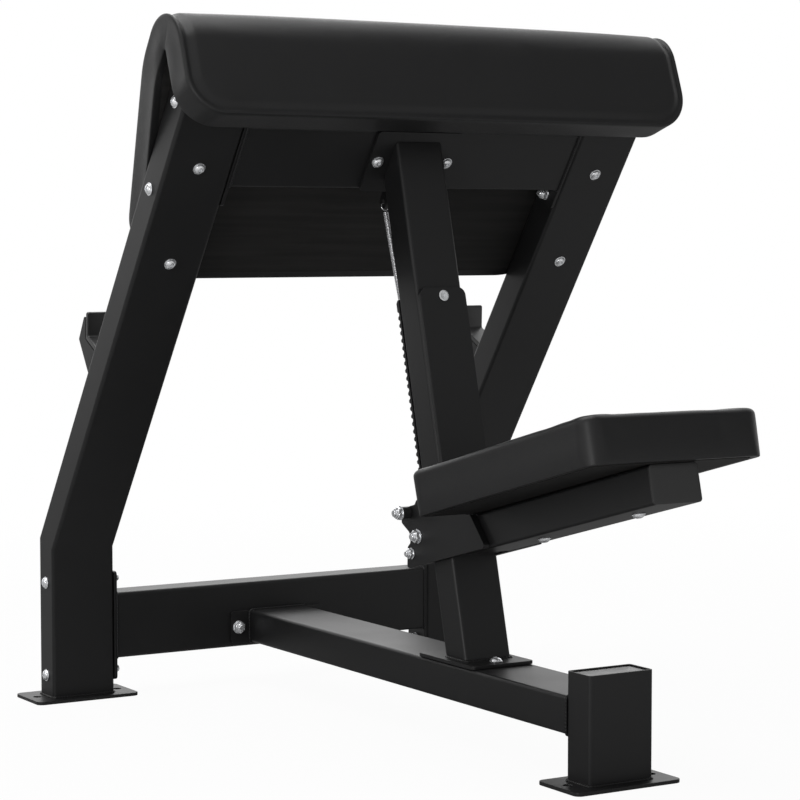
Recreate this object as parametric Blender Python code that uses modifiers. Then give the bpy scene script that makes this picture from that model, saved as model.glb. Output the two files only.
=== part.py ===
"""Preacher bench for arm curls.

Two bent legs and their cross beams carry a saddle-shaped arm pad. A base beam runs back to a rear
foot post and carries a leaning column. The seat hangs on a carriage that straddles the column: it is
lifted a few degrees to free its lock bolt from the toothed rack, and slid up or down.

Metres, +Z up, X to the user's right, the user sits at -Y and faces +Y. The origin is on the floor
below the middle of the bench. Heights of the frame are measured from the top of the foot plates, and
depths from the rear faces of the legs.
"""

import math

import bmesh
import bpy
import numpy as np
from mathutils import Matrix, Vector

# Clearances
FIT = 0.0003
SLIDE_FIT = 0.0005

# Steel tube, and the plates welded to it
TUBE_WIDE = 0.100
TUBE_NARROW = 0.050
TUBE_WALL = 0.003
TUBE_CORNER = 0.005
FLANGE_THICKNESS = 0.005
FLANGE_WIDTH = 0.050
FLANGE_HOLE_PITCH = 0.140
FLANGE_PAST_HOLE = 0.0125
FLANGE_LENGTH = FLANGE_HOLE_PITCH + 2 * FLANGE_PAST_HOLE
FLANGE_CORNER = 0.006
FLANGE_VENT = 0.010

# Feet
FOOT_DEPTH = 0.090
FOOT_THICKNESS = 0.005
FOOT_CORNER = 0.010
FOOT_HOLE_PITCH = 0.131
FOOT_HOLE = 0.006
FOOT_PAST_HOLE = 0.017
FOOT_LENGTH = FOOT_HOLE_PITCH + 2 * FOOT_PAST_HOLE

# Legs
LEG_LEAN = 34.9
LEG_KNEE = 0.222
LEG_SLOPE = 0.795

# Cross beams: the heights of their middles, the upper one along the slope from the knee
FRONT_BEAM_HEIGHT = 0.1015
UPPER_BEAM_ALONG = 0.702

# Base beam and rear post
BASE_BEAM_HEIGHT = 0.083
REAR_POST_DEPTH = -0.886
REAR_POST_HEIGHT = 0.141
POST_CAP_SINK = 0.002
POST_CAP_THICKNESS = 0.010

# Column
COLUMN_DEPTH_PLACE = -0.607
COLUMN_LEAN = 14.2
COLUMN_WIDE = 0.075
COLUMN_NARROW = 0.050
COLUMN_FOOT_LENGTH = 0.140
COLUMN_FOOT_BEHIND = 0.036
COLUMN_FOOT_HOLE_EDGE = 0.019
COLUMN_HEAD_WIDE = 0.140
COLUMN_HEAD_TALL = 0.100
COLUMN_HEAD_HOLE_PITCH = 0.114

# Wear plate and rack
WEAR_THICKNESS = 0.008
WEAR_TOP = 0.526
WEAR_BOTTOM = 0.150
WEAR_CORNER = 0.012
WEAR_SCREW_BELOW_TOP = 0.0125
RACK_BASE = 0.0035
TOOTH_DEPTH = 0.0035
TOOTH_PITCH = 0.0108
TOOTH_FLAT = 0.003
TEETH_ABOVE_LOCK = 29
TEETH_BELOW_LOCK = 2
RACK_LEAD = 0.020
RACK_LEAD_CHAMFER = 0.004

# Carriage, its heights measured from the underside of the seat tube
CARRIAGE_HEIGHT = 0.148
SIDE_PLATE_THICKNESS = 0.010
SIDE_PLATE_FRONT = 0.1035
SIDE_PLATE_LOBE_TOP = 0.0845
SIDE_PLATE_WAIST = 0.0855
SIDE_PLATE_REAR = 0.102
SIDE_PLATE_SHOULDER = 0.062
SIDE_PLATE_SHOULDER_TOP = 0.059
SIDE_PLATE_LEDGE = 0.0498
ROLLER_RADIUS = 0.012
ROLLER_HEIGHT = 0.016
ROLLER_SIDE_GAP = 0.0008
AXLE_RADIUS = 0.005
AXLE_SEAT = 0.007
LOCK_BOLT_HEIGHT = 0.040
GUIDE_BOLT_FORWARD = 0.079
GUIDE_BOLT_HEIGHT = 0.076
TIE_BOLT_FORWARD = 0.085
TIE_BOLT_HEIGHT = 0.019
TIE_BOLT_SHANK = 0.004
BUSH_RADIUS = 0.0085
BUSH_LENGTH = 0.013

# Seat, its places measured back from the column's rear face
SEAT_TUBE_START = 0.040
SEAT_CAP_THICKNESS = 0.003
SEAT_CAP_PLUG = 0.012
SEAT_START = 0.0695
SEAT_LENGTH = 0.4185
SEAT_WIDTH = 0.270
SEAT_OVER_TUBE = 0.023
SEAT_THICKNESS = 0.063
SEAT_CORNER = 0.021
SEAT_EDGE = 0.008
SEAT_CROWN = 0.003
SEAT_BOLT_PITCH = 0.212
SEAT_TUBE_END = SEAT_START + SEAT_LENGTH - SEAT_OVER_TUBE

# Boards inside the pads
BOARD_THICKNESS = 0.012
BOARD_MARGIN = 0.012
BOARD_CORNER = 0.015

# Arm pad: a saddle folded over the top of the legs, which stand in from its sides
PAD_WIDTH = 0.810
PAD_PAST_LEG_MIDDLE = 0.0755
LEG_PITCH = PAD_WIDTH - 2 * PAD_PAST_LEG_MIDDLE
PAD_THICKNESS = 0.052
PAD_REAR_LEAN = 19.5
PAD_REAR_LENGTH = 0.114
PAD_FRONT_LENGTH = 0.380
PAD_FOLD_RADIUS = 0.004
PAD_RIDGE_ABOVE_LEG = 0.046
PAD_REAR_CORNER = 0.055
PAD_FRONT_CORNER = 0.100
PAD_EDGE = 0.015
PAD_CROWN = 0.003
PAD_DRAW_IN = 0.003
PAD_TAPER = 10.3
PAD_TAPER_START = 0.050
PAD_BOLT_UPPER = 0.683
PAD_BOLT_LOWER = 0.525

# Bar catches, their places out from the leg's front face and along its slope
CATCH_WIDTH = 0.034
CATCH_WALL = 0.006
CATCH_ALONG = 0.2318
CATCH_KNEE_OUT = 0.108
CATCH_KNEE_UP = 0.044
CATCH_LIP_OUT = 0.112
CATCH_LIP_UP = 0.085
CATCH_LIP_THICK = 0.0065
CATCH_SHELF_OUT = 0.089
CATCH_SHELF_UP = 0.058
CATCH_SHELF_ROOT = 0.068
LINER_THICKNESS = 0.008
LINER_PROUD = 0.008
CATCH_BOLT_UP = 0.064
CATCH_BOLT_SHANK = 0.004

# Spring and its lug
SPRING_RADIUS = 0.0034
SPRING_WIRE = 0.0009
SPRING_CURLS = 50
SPRING_CURL_POINTS = 8
SPRING_HOOK_RADIUS = 0.0055
SPRING_HOOK_TURN = 320
SPRING_HOOK_STEPS = 15
SPRING_NECK = 0.003
LUG_OUT = 0.0187
LUG_DROP = 0.018
LUG_THICKNESS = 0.003
LUG_HALF_WIDTH = 0.010
LUG_HOLE = 0.0035

# Fasteners: shank radius, head radius and height, nut and washer
SHANK = 0.005
HEAD_RADIUS = 0.009
HEAD_HEIGHT = 0.0055
WASHER_RADIUS = 0.010
WASHER_THICKNESS = 0.0015
NUT_RADIUS = 0.0085
NUT_HEIGHT = 0.008
BOLT_TIP = 0.003
SMALL_SHANK = 0.003
SMALL_HEAD_RADIUS = 0.0075
SMALL_HEAD_HEIGHT = 0.0025
BLIND_LENGTH = 0.018
ROUND_STEPS = 10
BORE_STEPS = 12
ARC_STEPS = 2

COLLECTION = "preacher_bench"
UP = Vector((0, 0, 1))


def clear_scene():
    """Remove every object that the file holds."""
    for thing in list(bpy.data.objects):
        bpy.data.objects.remove(thing, do_unlink=True)


def new_collection(name):
    """A collection under the scene's own."""
    made = bpy.data.collections.new(name)
    bpy.context.scene.collection.children.link(made)
    return made


def material(name, colour, roughness, metallic=0.0):
    """A plain finish: colour, roughness and metallic value."""
    made = bpy.data.materials.new(name)
    made.use_nodes = True
    shader = made.node_tree.nodes["Principled BSDF"]
    shader.inputs["Base Color"].default_value = (*colour, 1.0)
    shader.inputs["Roughness"].default_value = roughness
    shader.inputs["Metallic"].default_value = metallic
    return made


clear_scene()
PARTS = new_collection(COLLECTION)
GUIDES = new_collection("cutters")
FRAME_PAINT = material("black_powder_coat", (0.018, 0.018, 0.019), 0.45)
VINYL = material("black_vinyl", (0.012, 0.012, 0.013), 0.38)
PLASTIC = material("black_plastic", (0.015, 0.015, 0.015), 0.5)
PLYWOOD = material("blackened_plywood", (0.016, 0.015, 0.014), 0.75)
ZINC = material("bright_zinc", (0.72, 0.72, 0.73), 0.25, 1.0)
NYLON = material("black_nylon", (0.02, 0.02, 0.02), 0.4)


def lean(place, degrees):
    """A frame at a place, turned about X: positive leans +Z towards -Y."""
    return Matrix.Translation(place) @ Matrix.Rotation(math.radians(degrees), 4, "X")


def along(place, direction):
    """A frame at a place whose Z runs along a direction."""
    turn = Vector(direction).to_track_quat("Z", "Y").to_matrix().to_4x4()
    return Matrix.Translation(place) @ turn


def empty(name, matrix, parent=None):
    """A parent for the pieces that share a frame."""
    made = bpy.data.objects.new(name, None)
    PARTS.objects.link(made)
    made.parent = parent
    made.matrix_basis = matrix
    return made


def place(name, mesh, finish, parent, matrix=Matrix.Identity(4), guide=False):
    """An object of a mesh under a parent: a piece, or a hidden guide that cuts or joins."""
    made = bpy.data.objects.new(name, mesh)
    (GUIDES if guide else PARTS).objects.link(made)
    made.parent = parent
    made.matrix_basis = matrix
    if guide:
        made.hide_render = True
        made.display_type = "WIRE"
    else:
        mesh.materials.append(finish)
        mesh.shade_smooth()
        mesh.set_sharp_from_angle(angle=math.radians(32))
    return made


def boolean(target, other, operation="DIFFERENCE"):
    """Cut or join a piece with a guide."""
    change = target.modifiers.new(f"{operation.lower()}_{other.name}", "BOOLEAN")
    change.operation = operation
    change.object = other
    change.solver = "EXACT"


def finish_mesh(name, bm):
    """A mesh of a closed bmesh, its faces pointing out."""
    bmesh.ops.recalc_face_normals(bm, faces=bm.faces)
    mesh = bpy.data.meshes.new(name)
    bm.to_mesh(mesh)
    bm.free()
    return mesh


def arc(centre, radius, start, end, steps):
    """Points on an arc, its ends included, the angles in degrees."""
    angles = [math.radians(start + (end - start) * i / steps) for i in range(steps + 1)]
    return [(centre[0] + radius * math.cos(a), centre[1] + radius * math.sin(a)) for a in angles]


def circle(centre, radius, steps=BORE_STEPS):
    """Points round a circle."""
    return arc(centre, radius, 0, 360, steps)[:-1]


def rounded_rectangle(width, height, radius, steps=ARC_STEPS, centre=(0, 0)):
    """The outline of a rectangle with round corners, counter-clockwise."""
    points = []
    for quarter, (sx, sy) in enumerate(((1, 1), (-1, 1), (-1, -1), (1, -1))):
        corner = (centre[0] + sx * (width / 2 - radius), centre[1] + sy * (height / 2 - radius))
        points += arc(corner, radius, 90 * quarter, 90 * quarter + 90, steps)
    return points


def filleted(points, radii, steps=ARC_STEPS):
    """An outline with its corners rounded by arcs, cut back where its sides are short.

    The radii are one for every corner, or a list with one for each.
    """
    rounded = []
    for i, point in enumerate(points):
        here = Vector(point)
        back = Vector(points[i - 1]) - here
        ahead = Vector(points[(i + 1) % len(points)]) - here
        half = back.angle(ahead) / 2
        radius = radii[i] if isinstance(radii, list) else radii
        if not radius:
            rounded.append(tuple(here))
            continue
        reach = min(radius / math.tan(half), 0.45 * back.length, 0.45 * ahead.length)
        start = here + back.normalized() * reach
        end = here + ahead.normalized() * reach
        for step in range(steps + 1):
            t = step / steps
            rounded.append(tuple(start * (1 - t) ** 2 + here * 2 * t * (1 - t) + end * t**2))
    return rounded


def inset(points, distance):
    """A counter-clockwise outline moved inwards by a distance."""
    moved = []
    for i, point in enumerate(points):
        here = Vector(point)
        back = (here - Vector(points[i - 1])).normalized()
        ahead = (Vector(points[(i + 1) % len(points)]) - here).normalized()
        inner = Vector((-(back + ahead).y, (back + ahead).x)).normalized()
        moved.append(tuple(here + inner * distance / max(0.2, inner.dot(Vector((-back.y, back.x))))))
    return moved


def sheet(name, outlines, thickness):
    """The mesh of flat outlines, the later ones holes, as thick as given and centred on Z."""
    curve = bpy.data.curves.new(name, "CURVE")
    curve.dimensions = "2D"
    curve.fill_mode = "BOTH"
    curve.extrude = thickness / 2
    for outline in outlines:
        spline = curve.splines.new("POLY")
        spline.points.add(len(outline) - 1)
        for point, (x, y) in zip(spline.points, outline):
            point.co = (x, y, 0, 1)
        spline.use_cyclic_u = True
    holder = bpy.data.objects.new(name, curve)
    GUIDES.objects.link(holder)
    bpy.context.view_layer.update()
    graph = bpy.context.evaluated_depsgraph_get()
    mesh = bpy.data.meshes.new_from_object(holder.evaluated_get(graph))
    bpy.data.objects.remove(holder)
    bm = bmesh.new()
    bm.from_mesh(mesh)
    bmesh.ops.remove_doubles(bm, verts=bm.verts, dist=1e-6)
    bpy.data.meshes.remove(mesh)
    return finish_mesh(name, bm)


def side_profile(name, outlines, width):
    """The mesh of outlines given as (Y, Z) points, as wide as given along X."""
    mesh = sheet(name, outlines, width)
    mesh.transform(Matrix(((0, 0, 1, 0), (1, 0, 0, 0), (0, 1, 0, 0), (0, 0, 0, 1))))
    return mesh


def cylinder(name, radius, length, steps=BORE_STEPS):
    """The mesh of a cylinder centred on Z."""
    bm = bmesh.new()
    bmesh.ops.create_cone(
        bm, cap_ends=True, segments=steps, radius1=radius, radius2=radius, depth=length
    )
    return finish_mesh(name, bm)


def box(name, size):
    """The mesh of a box centred on its origin."""
    bm = bmesh.new()
    bmesh.ops.create_cube(bm, size=1.0, matrix=Matrix.Diagonal((*size, 1.0)))
    return finish_mesh(name, bm)


def hollow_tube(name, wide, narrow, cuts, runs, wall=TUBE_WALL, centre=(0, 0)):
    """The mesh of a rectangular tube: a ring carried along each run as far as the next cut.

    A cut is a plane, given as a point and a normal. A run is a direction.
    """
    outer = rounded_rectangle(wide, narrow, TUBE_CORNER, centre=centre)
    inner = rounded_rectangle(
        wide - 2 * wall, narrow - 2 * wall, TUBE_CORNER - wall, centre=centre
    )
    bm = bmesh.new()
    rings = [[bm.verts.new((x, y, 0)) for x, y in ring] for ring in (outer, inner)]
    count = len(outer)
    faces = [
        bm.faces.new((rings[0][i], rings[0][(i + 1) % count], rings[1][(i + 1) % count], rings[1][i]))
        for i in range(count)
    ]
    carry(bm.verts, runs[0], cuts[0])
    for number, (run, cut) in enumerate(zip(runs, cuts[1:])):
        grown = bmesh.ops.extrude_face_region(bm, geom=faces)["geom"]
        carry([v for v in grown if isinstance(v, bmesh.types.BMVert)], run, cut)
        if number:
            bmesh.ops.delete(bm, geom=faces, context="FACES")
        faces = [f for f in grown if isinstance(f, bmesh.types.BMFace)]
    return finish_mesh(name, bm)


def carry(verts, run, cut):
    """Move points along a direction onto a plane."""
    run = Vector(run)
    point, normal = Vector(cut[0]), Vector(cut[1])
    for vert in verts:
        vert.co += run * ((point - vert.co).dot(normal) / run.dot(normal))


def straight_tube(name, wide, narrow, length, wall=TUBE_WALL):
    """The mesh of a tube with square ends, centred on Z."""
    ends = [((0, 0, -length / 2), UP), ((0, 0, length / 2), UP)]
    return hollow_tube(name, wide, narrow, ends, [UP], wall)


def turned(name, profile, steps, finish, parent, matrix):
    """A turned piece: a profile of (radius, height) points, top to bottom, screwed about Z."""
    mesh = bpy.data.meshes.new(name)
    points = [(r, 0, z) for r, z in profile]
    mesh.from_pydata(points, [(i, i + 1) for i in range(len(points) - 1)], [])
    made = place(name, mesh, finish, parent, matrix)
    screw = made.modifiers.new("turn", "SCREW")
    screw.axis = "Z"
    screw.steps = steps
    screw.render_steps = steps
    screw.use_merge_vertices = True
    screw.merge_threshold = 1e-5
    return made


def bolt(name, grip, parent, matrix, shank=SHANK, nut=True):
    """A domed bolt whose head bears at its origin, pointing up Z, with a washer and nut below."""
    scale = shank / SHANK
    head, high = HEAD_RADIUS * scale, HEAD_HEIGHT * scale
    profile = [(0, high), (0.6 * head, 0.85 * high), (0.93 * head, 0.4 * high), (head, 0)]
    profile.append((shank, 0))
    end = -grip
    if nut:
        end -= 2 * FIT
        washer = end - WASHER_THICKNESS
        profile += [(shank, end), (WASHER_RADIUS * scale, end), (WASHER_RADIUS * scale, washer)]
        profile += [(NUT_RADIUS * scale, washer), (NUT_RADIUS * scale, washer - NUT_HEIGHT * scale)]
        profile.append((shank, washer - NUT_HEIGHT * scale))
        end = washer - NUT_HEIGHT * scale - BOLT_TIP
    profile += [(shank, end), (0, end)]
    raised = matrix @ Matrix.Translation((0, 0, FIT))
    return turned(name, profile, ROUND_STEPS, ZINC, parent, raised)


def bolt_hole(bolt_object, targets, depth, radius=SHANK + FIT):
    """Bore the hole of a bolt, as deep as given below its head, through the pieces it passes."""
    mesh = cylinder(f"{bolt_object.name}_hole", radius, depth + HEAD_HEIGHT)
    middle = Matrix.Translation((0, 0, (HEAD_HEIGHT - depth) / 2))
    cutter = place(mesh.name, mesh, None, bolt_object.parent, bolt_object.matrix_basis @ middle, True)
    for target in targets:
        boolean(target, cutter)


def loft(name, sections):
    """The mesh of a skin over closed sections of as many points each, closed at both ends."""
    bm = bmesh.new()
    rings = [[bm.verts.new(point) for point in section] for section in sections]
    for near, far in zip(rings, rings[1:]):
        for i in range(len(near)):
            after = (i + 1) % len(near)
            bm.faces.new((near[i], near[after], far[after], far[i]))
    bm.faces.new(rings[0])
    bm.faces.new(rings[-1])
    return finish_mesh(name, bm)


def flange_outlines():
    """A flange plate's outline, its two bolt holes and its vent, along X and Y."""
    holes = [circle((side * FLANGE_HOLE_PITCH / 2, 0), SHANK + FIT) for side in (-1, 1)]
    body = rounded_rectangle(FLANGE_LENGTH, FLANGE_WIDTH, FLANGE_CORNER)
    return [body, *holes, circle((0, 0), FLANGE_VENT)]


def cushion_section(half_width, thickness, limit, edge, crown, draw_in):
    """Half-round points (x, height) of a cushion's cross-section, underside first.

    The side leans out from the underside by draw_in, turns over an edge of the radius given, and
    the top rises to a crown in the middle. No point is higher than limit.
    """
    shoulder = thickness - crown - edge
    right = [
        (half_width - draw_in, 0),
        (half_width - 0.25 * draw_in, 0.5 * shoulder),
        (half_width, shoulder),
    ]
    right += [
        (half_width - edge * (1 - math.cos(a)), shoulder + edge * math.sin(a))
        for a in (math.radians(35), math.radians(65))
    ]
    inner = half_width - edge
    right += [
        (inner * share, thickness - crown * share**2) for share in (1, 0.72, 0.36)
    ]
    left = [(-x, z) for x, z in reversed(right)]
    points = [(-(half_width - draw_in) * 0.5, 0), ((half_width - draw_in) * 0.5, 0), *right]
    points += [(0, thickness), *left]
    return [(x, min(z, limit)) for x, z in points]


def end_stations(length, corner, edge):
    """Distances in from a cushion's end that follow its round corners and its rolled edge."""
    inner = {corner * (1 - math.cos(math.radians(a))) for a in (0, 25, 45, 65, 90)}
    rolled = {edge * (1 - math.cos(math.radians(a))) for a in (40, 70, 90)}
    kept = []
    for station in sorted(inner | rolled):
        if station < length and (not kept or station - kept[-1] > 0.0012):
            kept.append(station)
    return kept


def corner_cut(distance, corner):
    """How far a round corner draws a side in, at a distance from the end."""
    if distance >= corner:
        return 0.0
    return corner - math.sqrt(corner**2 - (corner - distance) ** 2)


def rolled_height(distance, thickness, crown, edge):
    """How high a cushion with a rolled edge may stand, at a distance from its end."""
    shoulder = thickness - crown - edge
    if distance >= edge:
        return thickness
    return shoulder + math.sqrt(edge**2 - (edge - distance) ** 2)


# Frames that the pieces are placed in
ROOT = empty("bench_origin", Matrix.Identity(4))
STAND = empty("stand", Matrix.Translation((0, 0, FOOT_THICKNESS)), ROOT)
BEAM_TOP = BASE_BEAM_HEIGHT + TUBE_NARROW / 2
SLOPE = empty("leg_slope", lean((0, 0, LEG_KNEE), LEG_LEAN), STAND)
COLUMN = empty("column_line", lean((0, COLUMN_DEPTH_PLACE, BEAM_TOP), -COLUMN_LEAN), STAND)
AXLE_BACK = FIT + WEAR_THICKNESS + FIT + ROLLER_RADIUS
AXLE_PLACE = (0, -AXLE_BACK, CARRIAGE_HEIGHT + ROLLER_HEIGHT)
CARRIAGE = empty("seat_tilt_axis", Matrix.Translation(AXLE_PLACE), COLUMN)
PLATE_INNER = COLUMN_WIDE / 2 + FIT
PLATE_OUTER = PLATE_INNER + SIDE_PLATE_THICKNESS
RACK_TIP = COLUMN_NARROW + FIT + RACK_BASE + TOOTH_DEPTH
LOCK_BOLT_FORWARD = RACK_TIP + SLIDE_FIT + SHANK


def from_tube(forward, up):
    """A carriage place, forward of the column's rear face and up from the seat tube's underside."""
    return Vector((0, forward + AXLE_BACK, up - ROLLER_HEIGHT))


def leg(side, hand):
    """A bent leg: upright to the knee, then leaning back, and its foot plate."""
    turn = math.radians(LEG_LEAN)
    slope = Vector((0, -math.sin(turn), math.cos(turn)))
    mitre = Vector((0, -math.sin(turn / 2), math.cos(turn / 2)))
    knee = Vector((0, 0, LEG_KNEE))
    cuts = [((0, 0, FIT), UP), (knee, mitre), (knee + slope * LEG_SLOPE, slope)]
    mesh = hollow_tube(
        f"leg_{side}", TUBE_WIDE, TUBE_NARROW, cuts, [UP, slope], centre=(0, TUBE_NARROW / 2)
    )
    spot = Matrix.Translation((hand * LEG_PITCH / 2, 0, 0))
    return place(mesh.name, mesh, FRAME_PAINT, STAND, spot)


def foot_plate(name, x, y):
    """A flat foot with two holes for floor bolts."""
    holes = [circle((hand * FOOT_HOLE_PITCH / 2, 0), FOOT_HOLE) for hand in (-1, 1)]
    mesh = sheet(name, [rounded_rectangle(FOOT_LENGTH, FOOT_DEPTH, FOOT_CORNER), *holes], FOOT_THICKNESS)
    return place(name, mesh, FRAME_PAINT, STAND, Matrix.Translation((x, y, -FOOT_THICKNESS / 2)))


def cross_beam(name, parent, centre):
    """A tube between the legs with a flange welded on each end."""
    across = LEG_PITCH - TUBE_WIDE - 2 * FIT
    tube = straight_tube(name, TUBE_WIDE, TUBE_NARROW, across - 2 * FLANGE_THICKNESS + 0.002)
    sideways = Matrix.Translation(centre) @ Matrix.Rotation(math.radians(90), 4, "Y")
    beam = place(name, tube, FRAME_PAINT, parent, sideways)
    for hand in (-1, 1):
        mesh = sheet(f"{name}_flange_{hand}", flange_outlines(), FLANGE_THICKNESS)
        shift = Matrix.Translation((0, 0, hand * (across - FLANGE_THICKNESS) / 2))
        flange = place(mesh.name, mesh, None, parent, sideways @ shift, True)
        boolean(beam, flange, "UNION")
    return beam


def base_beam(front_beam):
    """The beam from the front cross beam back to the rear post, its flange at the front."""
    front = -FIT
    rear = REAR_POST_DEPTH + TUBE_NARROW / 2 + FIT
    length = front - FLANGE_THICKNESS - rear + 0.001
    tube = straight_tube("base_beam", TUBE_WIDE, TUBE_NARROW, length)
    lengthwise = Matrix.Rotation(math.radians(90), 4, "X")
    middle = Matrix.Translation((0, rear + length / 2, BASE_BEAM_HEIGHT))
    beam = place("base_beam", tube, FRAME_PAINT, STAND, middle @ lengthwise)
    mesh = sheet("base_beam_flange", flange_outlines(), FLANGE_THICKNESS)
    spot = Matrix.Translation((0, front - FLANGE_THICKNESS / 2, BASE_BEAM_HEIGHT))
    boolean(beam, place(mesh.name, mesh, None, STAND, spot @ lengthwise, True), "UNION")
    for name, hand in (("left", -1), ("right", 1)):
        head = (hand * FLANGE_HOLE_PITCH / 2, TUBE_NARROW, BASE_BEAM_HEIGHT)
        grip = TUBE_NARROW + FIT + FLANGE_THICKNESS
        made = bolt(f"base_beam_bolt_{name}", grip, STAND, along(head, (0, 1, 0)))
        bolt_hole(made, [front_beam], grip)
    return beam


def rear_post():
    """The short post at the back of the base beam, with its plastic cap sunk into its top."""
    height = REAR_POST_HEIGHT - FIT
    mesh = straight_tube("rear_post", TUBE_WIDE, TUBE_NARROW, height)
    spot = Matrix.Translation((0, REAR_POST_DEPTH, FIT + height / 2))
    place("rear_post", mesh, FRAME_PAINT, STAND, spot)
    clear = 2 * (TUBE_WALL + FIT)
    cap = sheet(
        "rear_post_cap",
        [rounded_rectangle(TUBE_WIDE - clear, TUBE_NARROW - clear, TUBE_CORNER - TUBE_WALL)],
        POST_CAP_THICKNESS,
    )
    top = REAR_POST_HEIGHT - POST_CAP_SINK - POST_CAP_THICKNESS / 2
    place("rear_post_cap", cap, PLASTIC, STAND, Matrix.Translation((0, REAR_POST_DEPTH, top)))


def leg_bolts(side, hand, leg_object, front_beam, upper_beam):
    """The bolts through a leg's narrow faces into the flanges of both cross beams."""
    grip = TUBE_WIDE + FIT + FLANGE_THICKNESS
    outer = hand * (LEG_PITCH + TUBE_WIDE) / 2
    rows = (
        ("lower_leg_bolt", STAND, FRONT_BEAM_HEIGHT, front_beam),
        ("upper_leg_bolt", SLOPE, UPPER_BEAM_ALONG, upper_beam),
    )
    for name, parent, height, beam in rows:
        for level, sign in (("top", 1), ("bottom", -1)):
            head = (outer, TUBE_NARROW / 2, height + sign * FLANGE_HOLE_PITCH / 2)
            made = bolt(f"{name}_{side}_{level}", grip, parent, along(head, (hand, 0, 0)))
            bolt_hole(made, [leg_object], TUBE_WIDE + FIT)


def column(base, upper_beam):
    """The leaning column, its foot plate on the base beam and its head plate on the upper beam."""
    foot_top = FIT + FLANGE_THICKNESS + FIT
    to_column = COLUMN.matrix_basis.inverted()
    foot_point = to_column @ Vector((0, COLUMN_DEPTH_PLACE, BEAM_TOP + foot_top))
    foot_normal = to_column.to_3x3() @ UP
    slope_to_column = to_column @ SLOPE.matrix_basis
    head_point = slope_to_column @ Vector((0, -FLANGE_THICKNESS - 2 * FIT, UPPER_BEAM_ALONG))
    head_normal = slope_to_column.to_3x3() @ Vector((0, 1, 0))
    cuts = [(foot_point, foot_normal), (head_point, head_normal)]
    mesh = hollow_tube(
        "seat_column", COLUMN_WIDE, COLUMN_NARROW, cuts, [UP], centre=(0, COLUMN_NARROW / 2)
    )
    post = place("seat_column", mesh, FRAME_PAINT, COLUMN)

    middle = COLUMN_DEPTH_PLACE - COLUMN_FOOT_BEHIND + COLUMN_FOOT_LENGTH / 2
    reach = COLUMN_FOOT_LENGTH / 2 - COLUMN_FOOT_HOLE_EDGE
    holes = [circle((0, sign * reach), SHANK + FIT) for sign in (-1, 1)]
    outline = rounded_rectangle(TUBE_WIDE, COLUMN_FOOT_LENGTH, FLANGE_CORNER)
    foot = sheet("column_foot_plate", [outline, *holes], FLANGE_THICKNESS)
    height = BEAM_TOP + FIT + FLANGE_THICKNESS / 2
    place(foot.name, foot, FRAME_PAINT, STAND, Matrix.Translation((0, middle, height)))
    for name, sign in (("rear", -1), ("front", 1)):
        head = (0, middle + sign * reach, height + FLANGE_THICKNESS / 2)
        made = bolt(f"column_foot_bolt_{name}", BLIND_LENGTH, STAND, along(head, UP), nut=False)
        bolt_hole(made, [base], BLIND_LENGTH + FIT)

    holes = [circle((sign * COLUMN_HEAD_HOLE_PITCH / 2, 0), SHANK + FIT) for sign in (-1, 1)]
    outline = rounded_rectangle(COLUMN_HEAD_WIDE, COLUMN_HEAD_TALL, FLANGE_CORNER)
    head_plate = sheet("column_head_plate", [outline, *holes], FLANGE_THICKNESS)
    facing = Matrix.Translation((0, -FIT - FLANGE_THICKNESS / 2, UPPER_BEAM_ALONG))
    place(
        head_plate.name, head_plate, FRAME_PAINT, SLOPE, facing @ Matrix.Rotation(math.radians(90), 4, "X")
    )
    for name, sign in (("left", -1), ("right", 1)):
        spot = (sign * COLUMN_HEAD_HOLE_PITCH / 2, -FIT - FLANGE_THICKNESS, UPPER_BEAM_ALONG)
        made = bolt(f"column_head_bolt_{name}", BLIND_LENGTH, SLOPE, along(spot, (0, -1, 0)), nut=False)
        bolt_hole(made, [upper_beam], BLIND_LENGTH + FIT)
    return post


def wear_plate(post):
    """The plate on the column's rear face that the roller runs on, and its screw."""
    half = COLUMN_WIDE / 2
    outline = [(half, WEAR_BOTTOM)]
    outline += arc((half - WEAR_CORNER, WEAR_TOP - WEAR_CORNER), WEAR_CORNER, 0, 90, 2 * ARC_STEPS)
    outline += arc((WEAR_CORNER - half, WEAR_TOP - WEAR_CORNER), WEAR_CORNER, 90, 180, 2 * ARC_STEPS)
    outline.append((-half, WEAR_BOTTOM))
    screw_height = WEAR_TOP - WEAR_SCREW_BELOW_TOP
    mesh = sheet(
        "wear_plate", [outline, circle((0, screw_height), SMALL_SHANK + FIT)], WEAR_THICKNESS
    )
    facing = Matrix.Translation((0, -FIT - WEAR_THICKNESS / 2, 0))
    place(mesh.name, mesh, FRAME_PAINT, COLUMN, facing @ Matrix.Rotation(math.radians(90), 4, "X"))
    profile = [(0, SMALL_HEAD_HEIGHT), (0.85 * SMALL_HEAD_RADIUS, SMALL_HEAD_HEIGHT)]
    profile += [(SMALL_HEAD_RADIUS, 0.5 * SMALL_HEAD_HEIGHT), (SMALL_HEAD_RADIUS, 0)]
    profile += [(SMALL_SHANK, 0), (SMALL_SHANK, -BLIND_LENGTH), (0, -BLIND_LENGTH)]
    spot = along((0, -WEAR_THICKNESS - 2 * FIT, screw_height), (0, -1, 0))
    screw = turned("wear_plate_screw", profile, ROUND_STEPS, ZINC, COLUMN, spot)
    bolt_hole(screw, [post], BLIND_LENGTH + FIT, SMALL_SHANK + FIT)


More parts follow.
